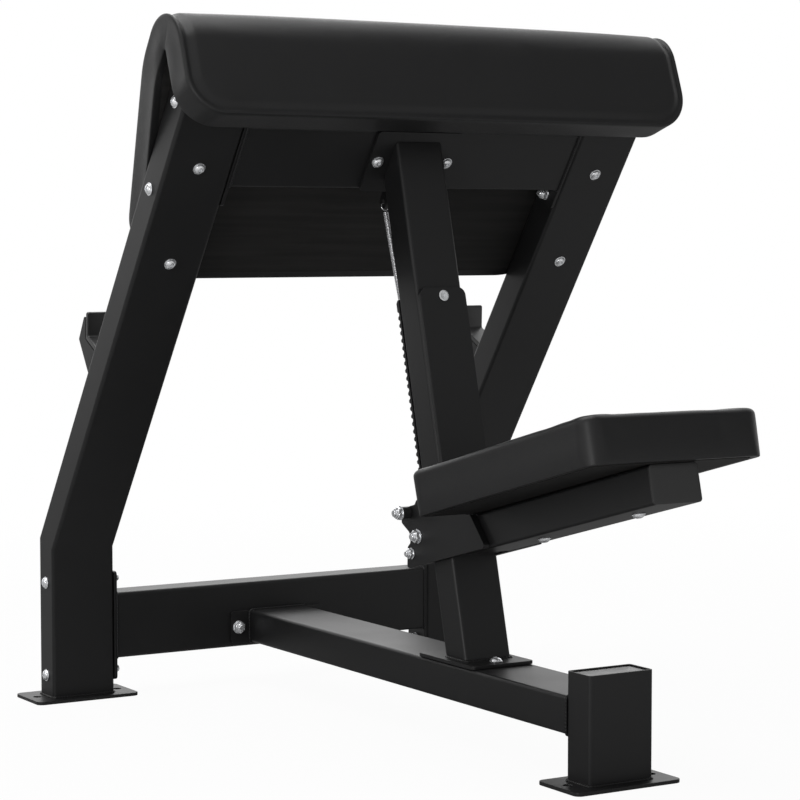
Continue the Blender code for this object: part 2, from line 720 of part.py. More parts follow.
def rack():
    """The toothed bar on the column's front face, its notches lined up with the lock bolt."""
    lock = CARRIAGE_HEIGHT + LOCK_BOLT_HEIGHT
    root = COLUMN_NARROW + FIT + RACK_BASE
    slant = (TOOTH_PITCH - 2 * TOOTH_FLAT) / 2
    bottom = lock - TEETH_BELOW_LOCK * TOOTH_PITCH
    top = lock + TEETH_ABOVE_LOCK * TOOTH_PITCH
    back = COLUMN_NARROW + FIT
    outline = [(back, bottom - TOOTH_FLAT), (root, bottom - TOOTH_FLAT)]
    for tooth in range(-TEETH_BELOW_LOCK, TEETH_ABOVE_LOCK):
        middle = lock + (tooth + 0.5) * TOOTH_PITCH
        outline.append((root, middle - TOOTH_FLAT / 2 - slant))
        outline.append((RACK_TIP, middle - TOOTH_FLAT / 2))
        outline.append((RACK_TIP, middle + TOOTH_FLAT / 2))
        outline.append((root, middle + TOOTH_FLAT / 2 + slant))
    end = top + RACK_LEAD
    outline += [(root, top + TOOTH_FLAT / 2), (RACK_TIP, top + TOOTH_FLAT / 2 + slant)]
    outline += [(RACK_TIP, end - RACK_LEAD_CHAMFER), (RACK_TIP - RACK_LEAD_CHAMFER, end), (back, end)]
    mesh = side_profile("rack", [outline], COLUMN_WIDE)
    place("rack", mesh, FRAME_PAINT, COLUMN)


def side_plates():
    """The two plates that straddle the column and hold the seat tube."""
    outline = [
        tuple(from_tube(forward, up).yz)
        for forward, up in (
            (-SIDE_PLATE_REAR, 0),
            (SIDE_PLATE_FRONT, 0),
            (SIDE_PLATE_FRONT - 0.009, 0.030),
            (SIDE_PLATE_WAIST, 0.0345),
            (SIDE_PLATE_WAIST, 0.049),
            (SIDE_PLATE_FRONT - 0.001, 0.0645),
            (SIDE_PLATE_FRONT - 0.004, SIDE_PLATE_LOBE_TOP),
            (GUIDE_BOLT_FORWARD - 0.017, SIDE_PLATE_LOBE_TOP),
            (GUIDE_BOLT_FORWARD - 0.023, SIDE_PLATE_LOBE_TOP + 0.006),
            (-SIDE_PLATE_SHOULDER, SIDE_PLATE_SHOULDER_TOP),
            (-SIDE_PLATE_SHOULDER - 0.0045, SIDE_PLATE_LEDGE),
            (-SIDE_PLATE_SHOULDER - 0.0128, SIDE_PLATE_LEDGE),
        )
    ]
    holes = [
        circle(tuple(from_tube(forward, up).yz), radius)
        for forward, up, radius in (
            (GUIDE_BOLT_FORWARD, GUIDE_BOLT_HEIGHT, SHANK + FIT),
            (LOCK_BOLT_FORWARD, LOCK_BOLT_HEIGHT, SHANK + FIT),
            (TIE_BOLT_FORWARD, TIE_BOLT_HEIGHT, TIE_BOLT_SHANK + FIT),
        )
    ]
    for name, hand in (("left", -1), ("right", 1)):
        mesh = side_profile(f"side_plate_{name}", [filleted(outline, 0.005), *holes], SIDE_PLATE_THICKNESS)
        middle = hand * (PLATE_INNER + PLATE_OUTER) / 2
        plate = place(mesh.name, mesh, FRAME_PAINT, CARRIAGE, Matrix.Translation((middle, 0, 0)))
        seat_hole = cylinder(f"side_plate_{name}_axle_seat", AXLE_RADIUS + FIT, 2 * AXLE_SEAT)
        spot = along((hand * PLATE_INNER, 0, 0), (1, 0, 0))
        boolean(plate, place(seat_hole.name, seat_hole, None, CARRIAGE, spot, True))


def carriage_bolts():
    """The three bolts through the side plates in front of the column, and the guide bolt's bushes."""
    bush_end = PLATE_OUTER + FIT + BUSH_LENGTH
    rows = (
        ("guide_bolt", GUIDE_BOLT_FORWARD, GUIDE_BOLT_HEIGHT, bush_end, SHANK),
        ("lock_bolt", LOCK_BOLT_FORWARD, LOCK_BOLT_HEIGHT, PLATE_OUTER, SHANK),
        ("tie_bolt", TIE_BOLT_FORWARD, TIE_BOLT_HEIGHT, PLATE_OUTER, TIE_BOLT_SHANK),
    )
    for name, forward, up, half, shank in rows:
        spot = from_tube(forward, up) + Vector((half, 0, 0))
        bolt(name, 2 * half, CARRIAGE, along(spot, (1, 0, 0)), shank=shank)
    for name, hand in (("left", -1), ("right", 1)):
        middle = hand * (PLATE_OUTER + FIT + BUSH_LENGTH / 2)
        rings = [circle((0, 0), BUSH_RADIUS), circle((0, 0), SHANK + FIT)]
        mesh = side_profile(f"guide_bush_{name}", [rings[0], rings[1]], BUSH_LENGTH)
        spot = from_tube(GUIDE_BOLT_FORWARD, GUIDE_BOLT_HEIGHT) + Vector((middle, 0, 0))
        place(mesh.name, mesh, NYLON, CARRIAGE, Matrix.Translation(spot))


def rear_roller():
    """The roller that runs on the wear plate, on a pin whose ends sit in the side plates."""
    rings = [circle((0, 0), ROLLER_RADIUS, 2 * BORE_STEPS), circle((0, 0), AXLE_RADIUS + FIT)]
    mesh = side_profile("rear_roller", rings, 2 * (PLATE_INNER - ROLLER_SIDE_GAP))
    place("rear_roller", mesh, NYLON, CARRIAGE)
    pin = cylinder("roller_axle", AXLE_RADIUS, 2 * (PLATE_INNER + AXLE_SEAT - FIT), ROUND_STEPS)
    place("roller_axle", pin, ZINC, CARRIAGE, Matrix.Rotation(math.radians(90), 4, "Y"))


def seat_tube():
    """The tube that carries the seat, and the plastic cap in its rear end."""
    length = SEAT_TUBE_END - SEAT_TUBE_START
    mesh = straight_tube("seat_tube", COLUMN_WIDE, COLUMN_NARROW, length)
    middle = from_tube(-(SEAT_TUBE_START + SEAT_TUBE_END) / 2, COLUMN_NARROW / 2)
    turn = Matrix.Rotation(math.radians(90), 4, "X")
    tube = place("seat_tube", mesh, FRAME_PAINT, CARRIAGE, Matrix.Translation(middle) @ turn)
    face = sheet(
        "seat_tube_cap", [rounded_rectangle(COLUMN_WIDE, COLUMN_NARROW, TUBE_CORNER)], SEAT_CAP_THICKNESS
    )
    spot = from_tube(-SEAT_TUBE_END - FIT - SEAT_CAP_THICKNESS / 2, COLUMN_NARROW / 2)
    cap = place("seat_tube_cap", face, PLASTIC, CARRIAGE, Matrix.Translation(spot) @ turn)
    clear = 2 * (TUBE_WALL + FIT)
    plug = sheet(
        "seat_tube_cap_plug",
        [rounded_rectangle(COLUMN_WIDE - clear, COLUMN_NARROW - clear, TUBE_CORNER - TUBE_WALL)],
        SEAT_CAP_PLUG,
    )
    spot = from_tube(-SEAT_TUBE_END - FIT - 0.001 + SEAT_CAP_PLUG / 2, COLUMN_NARROW / 2)
    inner = place(plug.name, plug, None, CARRIAGE, Matrix.Translation(spot) @ turn, True)
    boolean(cap, inner, "UNION")
    return tube


def seat(tube):
    """The seat's cushion, the board inside it, and the bolts up through the seat tube."""
    sections = []
    starts = end_stations(SEAT_LENGTH / 2, SEAT_CORNER, SEAT_EDGE)
    stations = starts + [0.25 * SEAT_LENGTH, 0.5 * SEAT_LENGTH, 0.75 * SEAT_LENGTH]
    stations += [SEAT_LENGTH - s for s in reversed(starts)]
    for station in stations:
        near_end = min(station, SEAT_LENGTH - station)
        half = SEAT_WIDTH / 2 - corner_cut(near_end, SEAT_CORNER)
        lengthwise = 1 - (2 * station / SEAT_LENGTH - 1) ** 4
        thickness = SEAT_THICKNESS - SEAT_CROWN * (1 - lengthwise)
        limit = rolled_height(near_end, thickness, SEAT_CROWN, SEAT_EDGE)
        points = cushion_section(half, thickness, limit, SEAT_EDGE, SEAT_CROWN, PAD_DRAW_IN)
        sections.append([(x, -station, z) for x, z in points])
    top = COLUMN_NARROW + FIT
    mesh = loft("seat_pad", sections)
    cushion = place("seat_pad", mesh, VINYL, CARRIAGE, Matrix.Translation(from_tube(-SEAT_START, top)))

    width = SEAT_WIDTH - 2 * BOARD_MARGIN
    length = SEAT_LENGTH - 2 * BOARD_MARGIN
    middle = from_tube(-SEAT_START - SEAT_LENGTH / 2, top)
    outline = rounded_rectangle(width, length, BOARD_CORNER)
    board_mesh = sheet("seat_board", [outline], BOARD_THICKNESS)
    raised = Matrix.Translation(middle + UP * (BOARD_THICKNESS / 2))
    board = place("seat_board", board_mesh, PLYWOOD, CARRIAGE, raised)
    depth = 2 * (BOARD_THICKNESS + FIT)
    pocket_outline = rounded_rectangle(width + 2 * FIT, length + 2 * FIT, BOARD_CORNER)
    pocket = sheet("seat_pad_pocket", [pocket_outline], depth)
    boolean(cushion, place(pocket.name, pocket, None, CARRIAGE, Matrix.Translation(middle), True))
    reach = COLUMN_NARROW + FIT + BOARD_THICKNESS - 2 * FIT
    for name, sign in (("front", -1), ("rear", 1)):
        head = from_tube(-SEAT_START - SEAT_LENGTH / 2 - sign * SEAT_BOLT_PITCH / 2, 0)
        made = bolt(f"seat_bolt_{name}", reach, CARRIAGE, along(head, -UP), nut=False)
        bolt_hole(made, [tube, board], reach + 2 * FIT)


def fold_frames():
    """The arm pad's fold: its centre and the angles of its rear and front faces, in degrees.

    The pad's inner faces are two planes: the front one lies on the legs' front faces, and the rear
    one leans the other way. They are rounded into each other by the fold radius. Angles are
    measured in the Y-Z plane from +Y.
    """
    turn = math.radians(LEG_LEAN)
    face = Vector((math.cos(turn), math.sin(turn)))
    slope = Vector((-math.sin(turn), math.cos(turn)))
    knee = Vector((0, LEG_KNEE))
    ridge = knee + face * (TUBE_NARROW + FIT) + slope * (LEG_SLOPE + PAD_RIDGE_ABOVE_LEG)
    rear_angle = 180 - PAD_REAR_LEAN
    half = math.radians(LEG_LEAN + PAD_REAR_LEAN) / 2
    middle = math.radians((rear_angle + LEG_LEAN) / 2)
    inward = Vector((-math.cos(middle), -math.sin(middle)))
    centre = ridge + inward * PAD_FOLD_RADIUS / math.sin(half)
    return centre, rear_angle, LEG_LEAN, PAD_FOLD_RADIUS / math.tan(half)


def pad_stations():
    """The arm pad's sections from its rear edge over the fold to its front edge.

    Each is the foot of the section on the fold's centre line, the angle of its normal in degrees,
    its half width and its height limit.
    """
    centre, rear_angle, front_angle, tangent = fold_frames()
    stations = []
    for distance in end_stations(PAD_REAR_LENGTH - tangent, PAD_REAR_CORNER, PAD_EDGE):
        limit = rolled_height(distance, PAD_THICKNESS, PAD_CROWN, PAD_EDGE)
        half = PAD_WIDTH / 2 - corner_cut(distance, PAD_REAR_CORNER)
        down = PAD_REAR_LENGTH - tangent - distance
        stations.append((down, rear_angle, half, limit))
    fold_steps = 8
    for step in range(fold_steps + 1):
        angle = rear_angle + (front_angle - rear_angle) * step / fold_steps
        stations.append((0, angle, PAD_WIDTH / 2, PAD_THICKNESS))
    front_run = PAD_FRONT_LENGTH - tangent
    ends = end_stations(front_run, PAD_FRONT_CORNER, PAD_EDGE)
    middles = [PAD_TAPER_START - tangent, 0.5 * (front_run - PAD_FRONT_CORNER)]
    for down in middles + [front_run - distance for distance in reversed(ends)]:
        distance = front_run - down
        limit = rolled_height(distance, PAD_THICKNESS, PAD_CROWN, PAD_EDGE)
        taper = math.tan(math.radians(PAD_TAPER)) * max(0, down + tangent - PAD_TAPER_START)
        half = PAD_WIDTH / 2 - taper - corner_cut(distance, PAD_FRONT_CORNER)
        stations.append((-down, front_angle, half, limit))
    return centre, stations


def arm_pad():
    """The saddle-shaped arm cushion, and the pockets of its two boards."""
    centre, stations = pad_stations()
    sections = []
    for down, angle, half, limit in stations:
        a = math.radians(angle)
        normal = Vector((math.cos(a), math.sin(a)))
        back = Vector((-math.sin(a), math.cos(a)))
        foot = back * down
        points = cushion_section(half, PAD_THICKNESS, limit, PAD_EDGE, PAD_CROWN, PAD_DRAW_IN)
        sections.append(
            [(x, *(foot + normal * (PAD_FOLD_RADIUS + z))) for x, z in points]
        )
    mesh = loft("arm_pad", sections)
    spot = Matrix.Translation((0, *centre))
    return place("arm_pad", mesh, VINYL, STAND, spot)


def arm_boards(cushion, legs):
    """The two boards inside the arm pad, and the bolts through the legs into the front one."""
    centre, rear_angle, front_angle, tangent = fold_frames()
    spot = Matrix.Translation((0, *centre))
    rear_run = PAD_REAR_LENGTH - tangent - BOARD_MARGIN
    front_run = PAD_FRONT_LENGTH - tangent - BOARD_MARGIN
    taper = math.tan(math.radians(PAD_TAPER))
    top = PAD_WIDTH / 2 - BOARD_MARGIN
    foot = top - taper * (PAD_FRONT_LENGTH - PAD_TAPER_START)
    bend = PAD_TAPER_START - tangent
    rear = [(-top, -rear_run), (top, -rear_run), (top, 0), (-top, 0)]
    front = [(-top, 0), (top, 0), (top, bend), (foot, front_run), (-foot, front_run), (-top, bend)]
    rear_corner = PAD_REAR_CORNER - BOARD_MARGIN
    front_corner = PAD_FRONT_CORNER - BOARD_MARGIN
    for name, angle, corners, radii in (
        ("rear", rear_angle, rear, [rear_corner, rear_corner, 0, 0]),
        ("front", front_angle, front, [0, 0, 0, front_corner, front_corner, 0]),
    ):
        facing = spot @ Matrix.Rotation(math.radians(angle - 90), 4, "X")
        outline = filleted(corners, radii, 2 * ARC_STEPS)
        mesh = sheet(f"arm_board_{name}", [outline], BOARD_THICKNESS)
        out = Matrix.Translation((0, 0, PAD_FOLD_RADIUS + BOARD_THICKNESS / 2))
        board = place(mesh.name, mesh, PLYWOOD, STAND, facing @ out)
        wider = inset(outline, -FIT)
        pocket = sheet(f"arm_pad_pocket_{name}", [wider], 2 * (BOARD_THICKNESS + FIT))
        level = Matrix.Translation((0, 0, PAD_FOLD_RADIUS))
        boolean(cushion, place(pocket.name, pocket, None, STAND, facing @ level, True))
    grip = TUBE_NARROW + BOARD_THICKNESS - FIT
    for side, hand in (("left", -1), ("right", 1)):
        for level, height in (("top", PAD_BOLT_UPPER), ("bottom", PAD_BOLT_LOWER)):
            head = (hand * LEG_PITCH / 2, 0, height)
            made = bolt(f"arm_pad_bolt_{side}_{level}", grip, SLOPE, along(head, (0, -1, 0)), nut=False)
            bolt_hole(made, [legs[side], board], grip + FIT)


def catch_outline():
    """A bar catch's side outline: out from the leg's front face, and up its slope."""
    return [
        (FIT, CATCH_ALONG),
        (CATCH_KNEE_OUT, CATCH_ALONG + CATCH_KNEE_UP),
        (CATCH_LIP_OUT, CATCH_ALONG + CATCH_LIP_UP),
        (CATCH_LIP_OUT - CATCH_LIP_THICK, CATCH_ALONG + CATCH_LIP_UP - 0.002),
        (CATCH_SHELF_OUT, CATCH_ALONG + CATCH_SHELF_UP),
        (FIT, CATCH_ALONG + CATCH_SHELF_ROOT),
    ]


def bar_catch(side, hand):
    """A bar catch on a leg: a folded steel bracket, its plastic liner and the liner's bolt."""
    middle = Matrix.Translation((hand * LEG_PITCH / 2, TUBE_NARROW, 0))
    outline = catch_outline()
    bracket_mesh = side_profile(f"bar_catch_{side}", [filleted(outline, 0.003)], CATCH_WIDTH)
    bracket = place(bracket_mesh.name, bracket_mesh, FRAME_PAINT, SLOPE, middle)
    knee_out, knee_up = outline[1]
    shelf_up = outline[4][1]
    hollow = [
        (-CATCH_WALL, CATCH_ALONG + 1.3 * CATCH_WALL),
        (FIT + CATCH_WALL, CATCH_ALONG + 1.5 * CATCH_WALL),
        (knee_out - 2.5 * CATCH_WALL, knee_up),
        (CATCH_SHELF_OUT - CATCH_WALL, shelf_up - CATCH_WALL),
        (-CATCH_WALL, outline[5][1] - CATCH_WALL),
    ]
    hollow_mesh = side_profile(f"bar_catch_{side}_hollow", [hollow], CATCH_WIDTH - 2 * CATCH_WALL)
    boolean(bracket, place(hollow_mesh.name, hollow_mesh, None, SLOPE, middle, True))

    lip = Vector(outline[3]) - Vector(outline[4])
    lip_out = Vector((-lip.y, lip.x)).normalized()
    shelf = Vector(outline[5]) - Vector(outline[4])
    shelf_out = Vector((shelf.y, -shelf.x)).normalized() * -1
    if shelf_out.y < 0:
        shelf_out = -shelf_out
    knee = Vector(outline[4])
    rise = lip.normalized()
    corner_seat = meet(knee + lip_out * FIT, rise, knee + shelf_out * FIT, shelf.normalized())
    thick = LINER_THICKNESS + FIT
    corner_face = meet(knee + lip_out * thick, rise, knee + shelf_out * thick, shelf.normalized())
    lip_end = lip.length + LINER_PROUD
    root = shelf.normalized() * (shelf.length - FIT)
    liner = [
        tuple(corner_seat + rise * lip_end),
        tuple(corner_face + rise * lip_end),
        tuple(corner_face),
        tuple(knee + root + shelf_out * thick),
        tuple(knee + root + shelf_out * FIT),
        tuple(corner_seat),
    ]
    liner_mesh = side_profile(f"catch_liner_{side}", [filleted(liner, 0.002)], CATCH_WIDTH)
    liner_piece = place(liner_mesh.name, liner_mesh, PLASTIC, SLOPE, middle)

    outer = Vector(outline[2]) - Vector(outline[1])
    share = (CATCH_BOLT_UP - CATCH_KNEE_UP) / (CATCH_LIP_UP - CATCH_KNEE_UP)
    head = Vector(outline[1]) + outer * share
    facing = Vector((outer.y, -outer.x)).normalized()
    spot = middle @ along((0, *head), (0, *facing))
    made = bolt(f"catch_bolt_{side}", BLIND_LENGTH, SLOPE, spot, shank=CATCH_BOLT_SHANK, nut=False)
    bolt_hole(made, [bracket, liner_piece], BLIND_LENGTH + FIT, CATCH_BOLT_SHANK + FIT)


def meet(a, a_run, b, b_run):
    """Where two lines in a plane meet, each given as a point and a direction."""
    cross = a_run.x * b_run.y - a_run.y * b_run.x
    gap = b - a
    return a + a_run * ((gap.x * b_run.y - gap.y * b_run.x) / cross)


def spring_points(length):
    """A spring from its top hook's centre down to its bottom hook's, as one run of points."""
    bottom_radius = SHANK + FIT + SPRING_WIRE
    points = []
    for step in range(SPRING_HOOK_STEPS + 1):
        a = math.radians(360 - SPRING_HOOK_TURN * (1 - step / SPRING_HOOK_STEPS))
        points.append((0, bottom_radius * math.sin(a), -length + bottom_radius * math.cos(a)))
    low = -length + bottom_radius + SPRING_NECK
    high = -SPRING_HOOK_RADIUS - SPRING_NECK
    count = SPRING_CURLS * SPRING_CURL_POINTS
    for step in range(count + 1):
        a = 2 * math.pi * step / SPRING_CURL_POINTS
        z = low + (high - low) * step / count
        points.append((SPRING_RADIUS * math.cos(a), SPRING_RADIUS * math.sin(a), z))
    for step in range(SPRING_HOOK_STEPS + 1):
        a = math.radians(180 + SPRING_HOOK_TURN * step / SPRING_HOOK_STEPS)
        points.append((SPRING_HOOK_RADIUS * math.sin(a), 0, SPRING_HOOK_RADIUS * math.cos(a)))
    return points


def least_gap(points, wire, apart):
    """The least gap of a wire to itself, between points that lie further apart along it."""
    places = np.array(points)
    steps = np.linalg.norm(np.diff(places, axis=0), axis=1)
    run = np.concatenate([[0], np.cumsum(steps)])
    between = np.linalg.norm(places[:, None] - places[None, :], axis=2)
    far = np.abs(run[:, None] - run[None, :]) > apart
    return between[far].min() - 2 * wire


def return_spring(upper_beam_low):
    """The extension spring in front of the column, and the lug under the upper beam it hangs on."""
    hole = Vector((0, LUG_OUT, upper_beam_low - LUG_DROP))
    outline = [
        (LUG_OUT + LUG_HALF_WIDTH, upper_beam_low - FIT),
        (LUG_OUT - LUG_HALF_WIDTH, upper_beam_low - FIT),
    ]
    outline += arc((hole.y, hole.z), LUG_HALF_WIDTH, 180, 360, 3 * ARC_STEPS)
    mesh = side_profile("spring_lug", [outline, circle((hole.y, hole.z), LUG_HOLE)], LUG_THICKNESS)
    place("spring_lug", mesh, FRAME_PAINT, SLOPE)
    bend = SPRING_HOOK_RADIUS - math.sqrt(SPRING_HOOK_RADIUS**2 - (LUG_THICKNESS / 2) ** 2)
    hung = LUG_HOLE - SPRING_WIRE - bend - FIT
    bottom = COLUMN.matrix_basis @ (Vector(AXLE_PLACE) + from_tube(GUIDE_BOLT_FORWARD, GUIDE_BOLT_HEIGHT))
    line = SLOPE.matrix_basis @ hole - bottom
    hook = bottom + line - line.normalized() * (hung + SPRING_HOOK_RADIUS)
    length = (hook - bottom).length
    points = spring_points(length)
    print(f"spring: least gap to itself {1000 * least_gap(points, SPRING_WIRE, 0.009):.2f} mm")
    curve = bpy.data.curves.new("return_spring", "CURVE")
    curve.dimensions = "3D"
    curve.bevel_depth = SPRING_WIRE
    curve.bevel_resolution = 1
    curve.use_fill_caps = True
    spline = curve.splines.new("POLY")
    spline.points.add(len(points) - 1)
    for point, co in zip(spline.points, points):
        point.co = (*co, 1)
    made = bpy.data.objects.new("return_spring", curve)
    curve.materials.append(ZINC)
    PARTS.objects.link(made)
    made.parent = STAND
    leaning = math.atan2(line.y, line.z)
    made.matrix_basis = lean(hook, -math.degrees(leaning))


def centre_over_floor():
    """Move the whole bench so that the origin is below the middle of its length."""
    bpy.context.view_layer.update()
    graph = bpy.context.evaluated_depsgraph_get()
    ends = []
    for piece in PARTS.objects:
        if piece.type == "EMPTY":
            continue
        seen = piece.evaluated_get(graph)
        mesh = seen.to_mesh()
        places = np.empty(3 * len(mesh.vertices), dtype=np.float32)
        mesh.vertices.foreach_get("co", places)
        world = np.array(seen.matrix_world)
        depths = places.reshape(-1, 3) @ world[1, :3] + world[1, 3]
        ends += [depths.min(), depths.max()]
        seen.to_mesh_clear()
    ROOT.location.y -= float(min(ends) + max(ends)) / 2
    bpy.context.view_layer.update()
    print(f"bench origin: legs' rear faces at y = {ROOT.location.y:.4f} m")


def build():
    """Model every piece of the bench."""
    legs = {side: leg(side, hand) for side, hand in (("left", -1), ("right", 1))}
    for side, hand in (("left", -1), ("right", 1)):
        foot_plate(f"foot_plate_{side}", hand * LEG_PITCH / 2, TUBE_NARROW / 2)
    foot_plate("foot_plate_rear", 0, REAR_POST_DEPTH)
    front_beam = cross_beam("front_cross_beam", STAND, (0, TUBE_NARROW / 2, FRONT_BEAM_HEIGHT))
    upper_beam = cross_beam("upper_cross_beam", SLOPE, (0, TUBE_NARROW / 2, UPPER_BEAM_ALONG))
    base = base_beam(front_beam)
    rear_post()
    for side, hand in (("left", -1), ("right", 1)):
        leg_bolts(side, hand, legs[side], front_beam, upper_beam)
        bar_catch(side, hand)
    post = column(base, upper_beam)
    wear_plate(post)
    rack()
    side_plates()
    carriage_bolts()
    rear_roller()
    seat(seat_tube())
    arm_boards(arm_pad(), legs)
    return_spring(UPPER_BEAM_ALONG - TUBE_WIDE / 2)
    centre_over_floor()


build()
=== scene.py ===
"""The looks of the preacher bench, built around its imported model.

Lengths are in metres. X runs to the user's right and +Y is the way the user faces. The bench is
worked out in a few leaning datums: the stand, the slope of the legs, and the seat column.
"""

import logging
import math
from dataclasses import dataclass, field, replace
from enum import Enum

import bmesh
import bpy
import numpy as np
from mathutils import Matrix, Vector


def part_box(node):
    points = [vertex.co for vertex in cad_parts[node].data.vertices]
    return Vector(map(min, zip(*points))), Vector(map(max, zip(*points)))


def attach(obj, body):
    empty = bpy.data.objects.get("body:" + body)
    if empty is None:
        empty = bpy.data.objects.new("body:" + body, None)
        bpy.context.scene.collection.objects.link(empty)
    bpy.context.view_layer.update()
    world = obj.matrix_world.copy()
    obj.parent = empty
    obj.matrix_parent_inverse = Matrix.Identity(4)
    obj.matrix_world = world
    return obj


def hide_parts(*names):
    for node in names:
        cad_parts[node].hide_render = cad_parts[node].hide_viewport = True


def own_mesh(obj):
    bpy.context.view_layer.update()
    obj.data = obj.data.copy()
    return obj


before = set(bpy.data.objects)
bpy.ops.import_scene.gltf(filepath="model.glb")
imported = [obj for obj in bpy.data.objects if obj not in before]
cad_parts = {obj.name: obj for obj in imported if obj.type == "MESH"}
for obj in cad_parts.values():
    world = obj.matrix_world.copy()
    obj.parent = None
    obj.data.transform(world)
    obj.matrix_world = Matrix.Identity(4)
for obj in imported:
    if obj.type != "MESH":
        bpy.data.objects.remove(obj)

Points = np.ndarray
Pair = tuple[float, float]
Place = tuple[float, float, float]
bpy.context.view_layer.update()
LOG = logging.getLogger("preacher_bench")

HANDS = (("left", -1), ("right", 1))
UP = np.array((0.0, 0.0, 1.0))
ALONG_X = (1.0, 0.0, 0.0)

# Clearance, tube and plate
FIT = 0.0003
TUBE_WIDE = 0.100
TUBE_NARROW = 0.050
TUBE_WALL = 0.003
TUBE_CORNER = 0.005
PLATE = 0.005
PLATE_CORNER = 0.006

# Places that several sub-assemblies share, from the legs' rear faces and the feet's upper faces
LEG_PITCH = 0.659
KNEE_HEIGHT = 0.222
LEG_LEAN = 34.9
LEG_SLOPE = 0.795
FRONT_BEAM_HEIGHT = 0.1015
UPPER_BEAM_ALONG = 0.702
BASE_BEAM_HEIGHT = 0.083
BASE_BEAM_TOP = 0.108
REAR_POST_DEPTH = -0.886
COLUMN_DEPTH = -0.607
COLUMN_LEAN = 14.2
SEAT_HEIGHT = 0.148
GUIDE_BOLT = (0.079, 0.076)


# Working frames


class Datum:
    """A working frame of the bench: an origin and three axes given in the bench's own frame."""

    def __init__(self, origin: Place | Points, axes: Points | None = None) -> None:
        """Keep the origin and the axes, one axis in each row.

        Args:
            origin: where the datum's zero point lies.
            axes: its X, Y and Z directions as rows; the bench's own when left out.
        """
        self.origin = np.asarray(origin, float)
        self.axes = np.eye(3) if axes is None else axes

    def world(self, points: Points) -> Points:
        """Points given in this datum, in the bench's frame: origin plus each axis times its share."""
        return np.asarray(points, float) @ self.axes + self.origin

    def moved(self, x: float = 0.0, y: float = 0.0, z: float = 0.0) -> "Datum":
        """The same directions from another place of this datum."""
        return Datum(self.world((x, y, z)), self.axes)

    def leaned(self, degrees: float) -> "Datum":
        """This datum turned about its own X; a positive angle leans Z towards -Y."""
        c, s = math.cos(math.radians(degrees)), math.sin(math.radians(degrees))
        return Datum(self.origin, np.array([[1, 0, 0], [0, c, s], [0, -s, c]]) @ self.axes)

    def rearward(self) -> "Datum":
        """This datum with its Z towards the old -Y and its Y up the old Z."""
        return Datum(self.origin, np.stack([self.axes[0], self.axes[2], -self.axes[1]]))

    def overturned(self) -> "Datum":
        """This datum with its Z the other way."""
        return Datum(self.origin, self.axes * np.array([[1], [1], [-1]]))

    def facing(self, direction: Place) -> "Datum":
        """This datum with its Z along a direction given in it.

        Args:
            direction: the way that the new Z points.

        Returns:
            A datum at the same place whose X is level with the old XY plane where it can be.
        """
        z = np.asarray(direction, float) / np.linalg.norm(direction)
        aside = UP if abs(z[2]) < 0.9 else np.array((0.0, 1.0, 0.0))
        x = np.cross(aside, z)
        x /= np.linalg.norm(x)
        return Datum(self.origin, np.stack([x, np.cross(z, x), z]) @ self.axes)


FOOT_LOW, FOOT_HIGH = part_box("foot_plate_left")
STAND = Datum((0.0, (FOOT_LOW.y + FOOT_HIGH.y) / 2 - TUBE_NARROW / 2, PLATE))
SLOPE = STAND.moved(z=KNEE_HEIGHT).leaned(LEG_LEAN)
COLUMN = STAND.moved(y=COLUMN_DEPTH, z=BASE_BEAM_TOP).leaned(-COLUMN_LEAN)
SEAT_LINE = COLUMN.moved(z=SEAT_HEIGHT)


# Outlines


def rounded_rectangle(wide: float, high: float, radius: float, steps: int = 6) -> Points:
    """A rectangle with round corners: each corner is a quarter circle about its own centre.

    Args:
        wide: its whole width.
        high: its whole height.
        radius: the corners' radius.
        steps: the chords of each corner.

    Returns:
        The outline, anticlockwise, one (x, y) in each row.
    """
    quarter = np.arange(4)[:, None]
    angle = np.radians(90 * quarter + np.linspace(0, 90, steps + 1))
    signs = np.array([(1, 1), (-1, 1), (-1, -1), (1, -1)])
    centres = signs * (np.array((wide, high)) / 2 - radius)
    ring = centres[:, None, :] + radius * np.stack([np.cos(angle), np.sin(angle)], -1)
    return ring.reshape(-1, 2)


def filleted(corners: list, radii: float | list, steps: int = 5) -> Points:
    """A polygon with its corners rounded: an arc that touches both sides of each corner.

    The arc's centre lies on the corner's bisector at radius over the sine of half its angle, and
    the arc's points are the two touching directions blended by the sines of their share.

    Args:
        corners: the polygon's corners in turn.
        radii: one radius, or one for each corner.
        steps: the chords of each arc.

    Returns:
        The rounded outline, one (x, y) in each row.
    """
    at = np.asarray(corners, float)
    radius = np.broadcast_to(np.maximum(radii, 1e-5), len(at))[:, None]
    before, after = np.roll(at, 1, 0) - at, np.roll(at, -1, 0) - at
    before /= np.linalg.norm(before, axis=1, keepdims=True)
    after /= np.linalg.norm(after, axis=1, keepdims=True)
    half = np.arccos(np.clip((before * after).sum(1), -1, 1))[:, None] / 2
    bisector = (before + after) / np.maximum(2 * np.cos(half), 1e-6)
    touch_a = before / np.tan(half) - bisector / np.sin(half)
    touch_b = after / np.tan(half) - bisector / np.sin(half)
    centre = at + bisector * radius / np.sin(half)
    span = np.maximum(math.pi - 2 * half, 1e-4)[:, :, None]
    share = np.linspace(0, 1, steps + 1)[None, :, None]
    mixed = np.sin((1 - share) * span) * touch_a[:, None] + np.sin(share * span) * touch_b[:, None]
    return (centre[:, None] + radius[:, :, None] * mixed / np.sin(span)).reshape(-1, 2)


def tube_section(middle: float = 0.0) -> Points:
    """The outline of the frame's tube, its middle a way along Y."""
    return rounded_rectangle(TUBE_WIDE, TUBE_NARROW, TUBE_CORNER) + (0, middle)


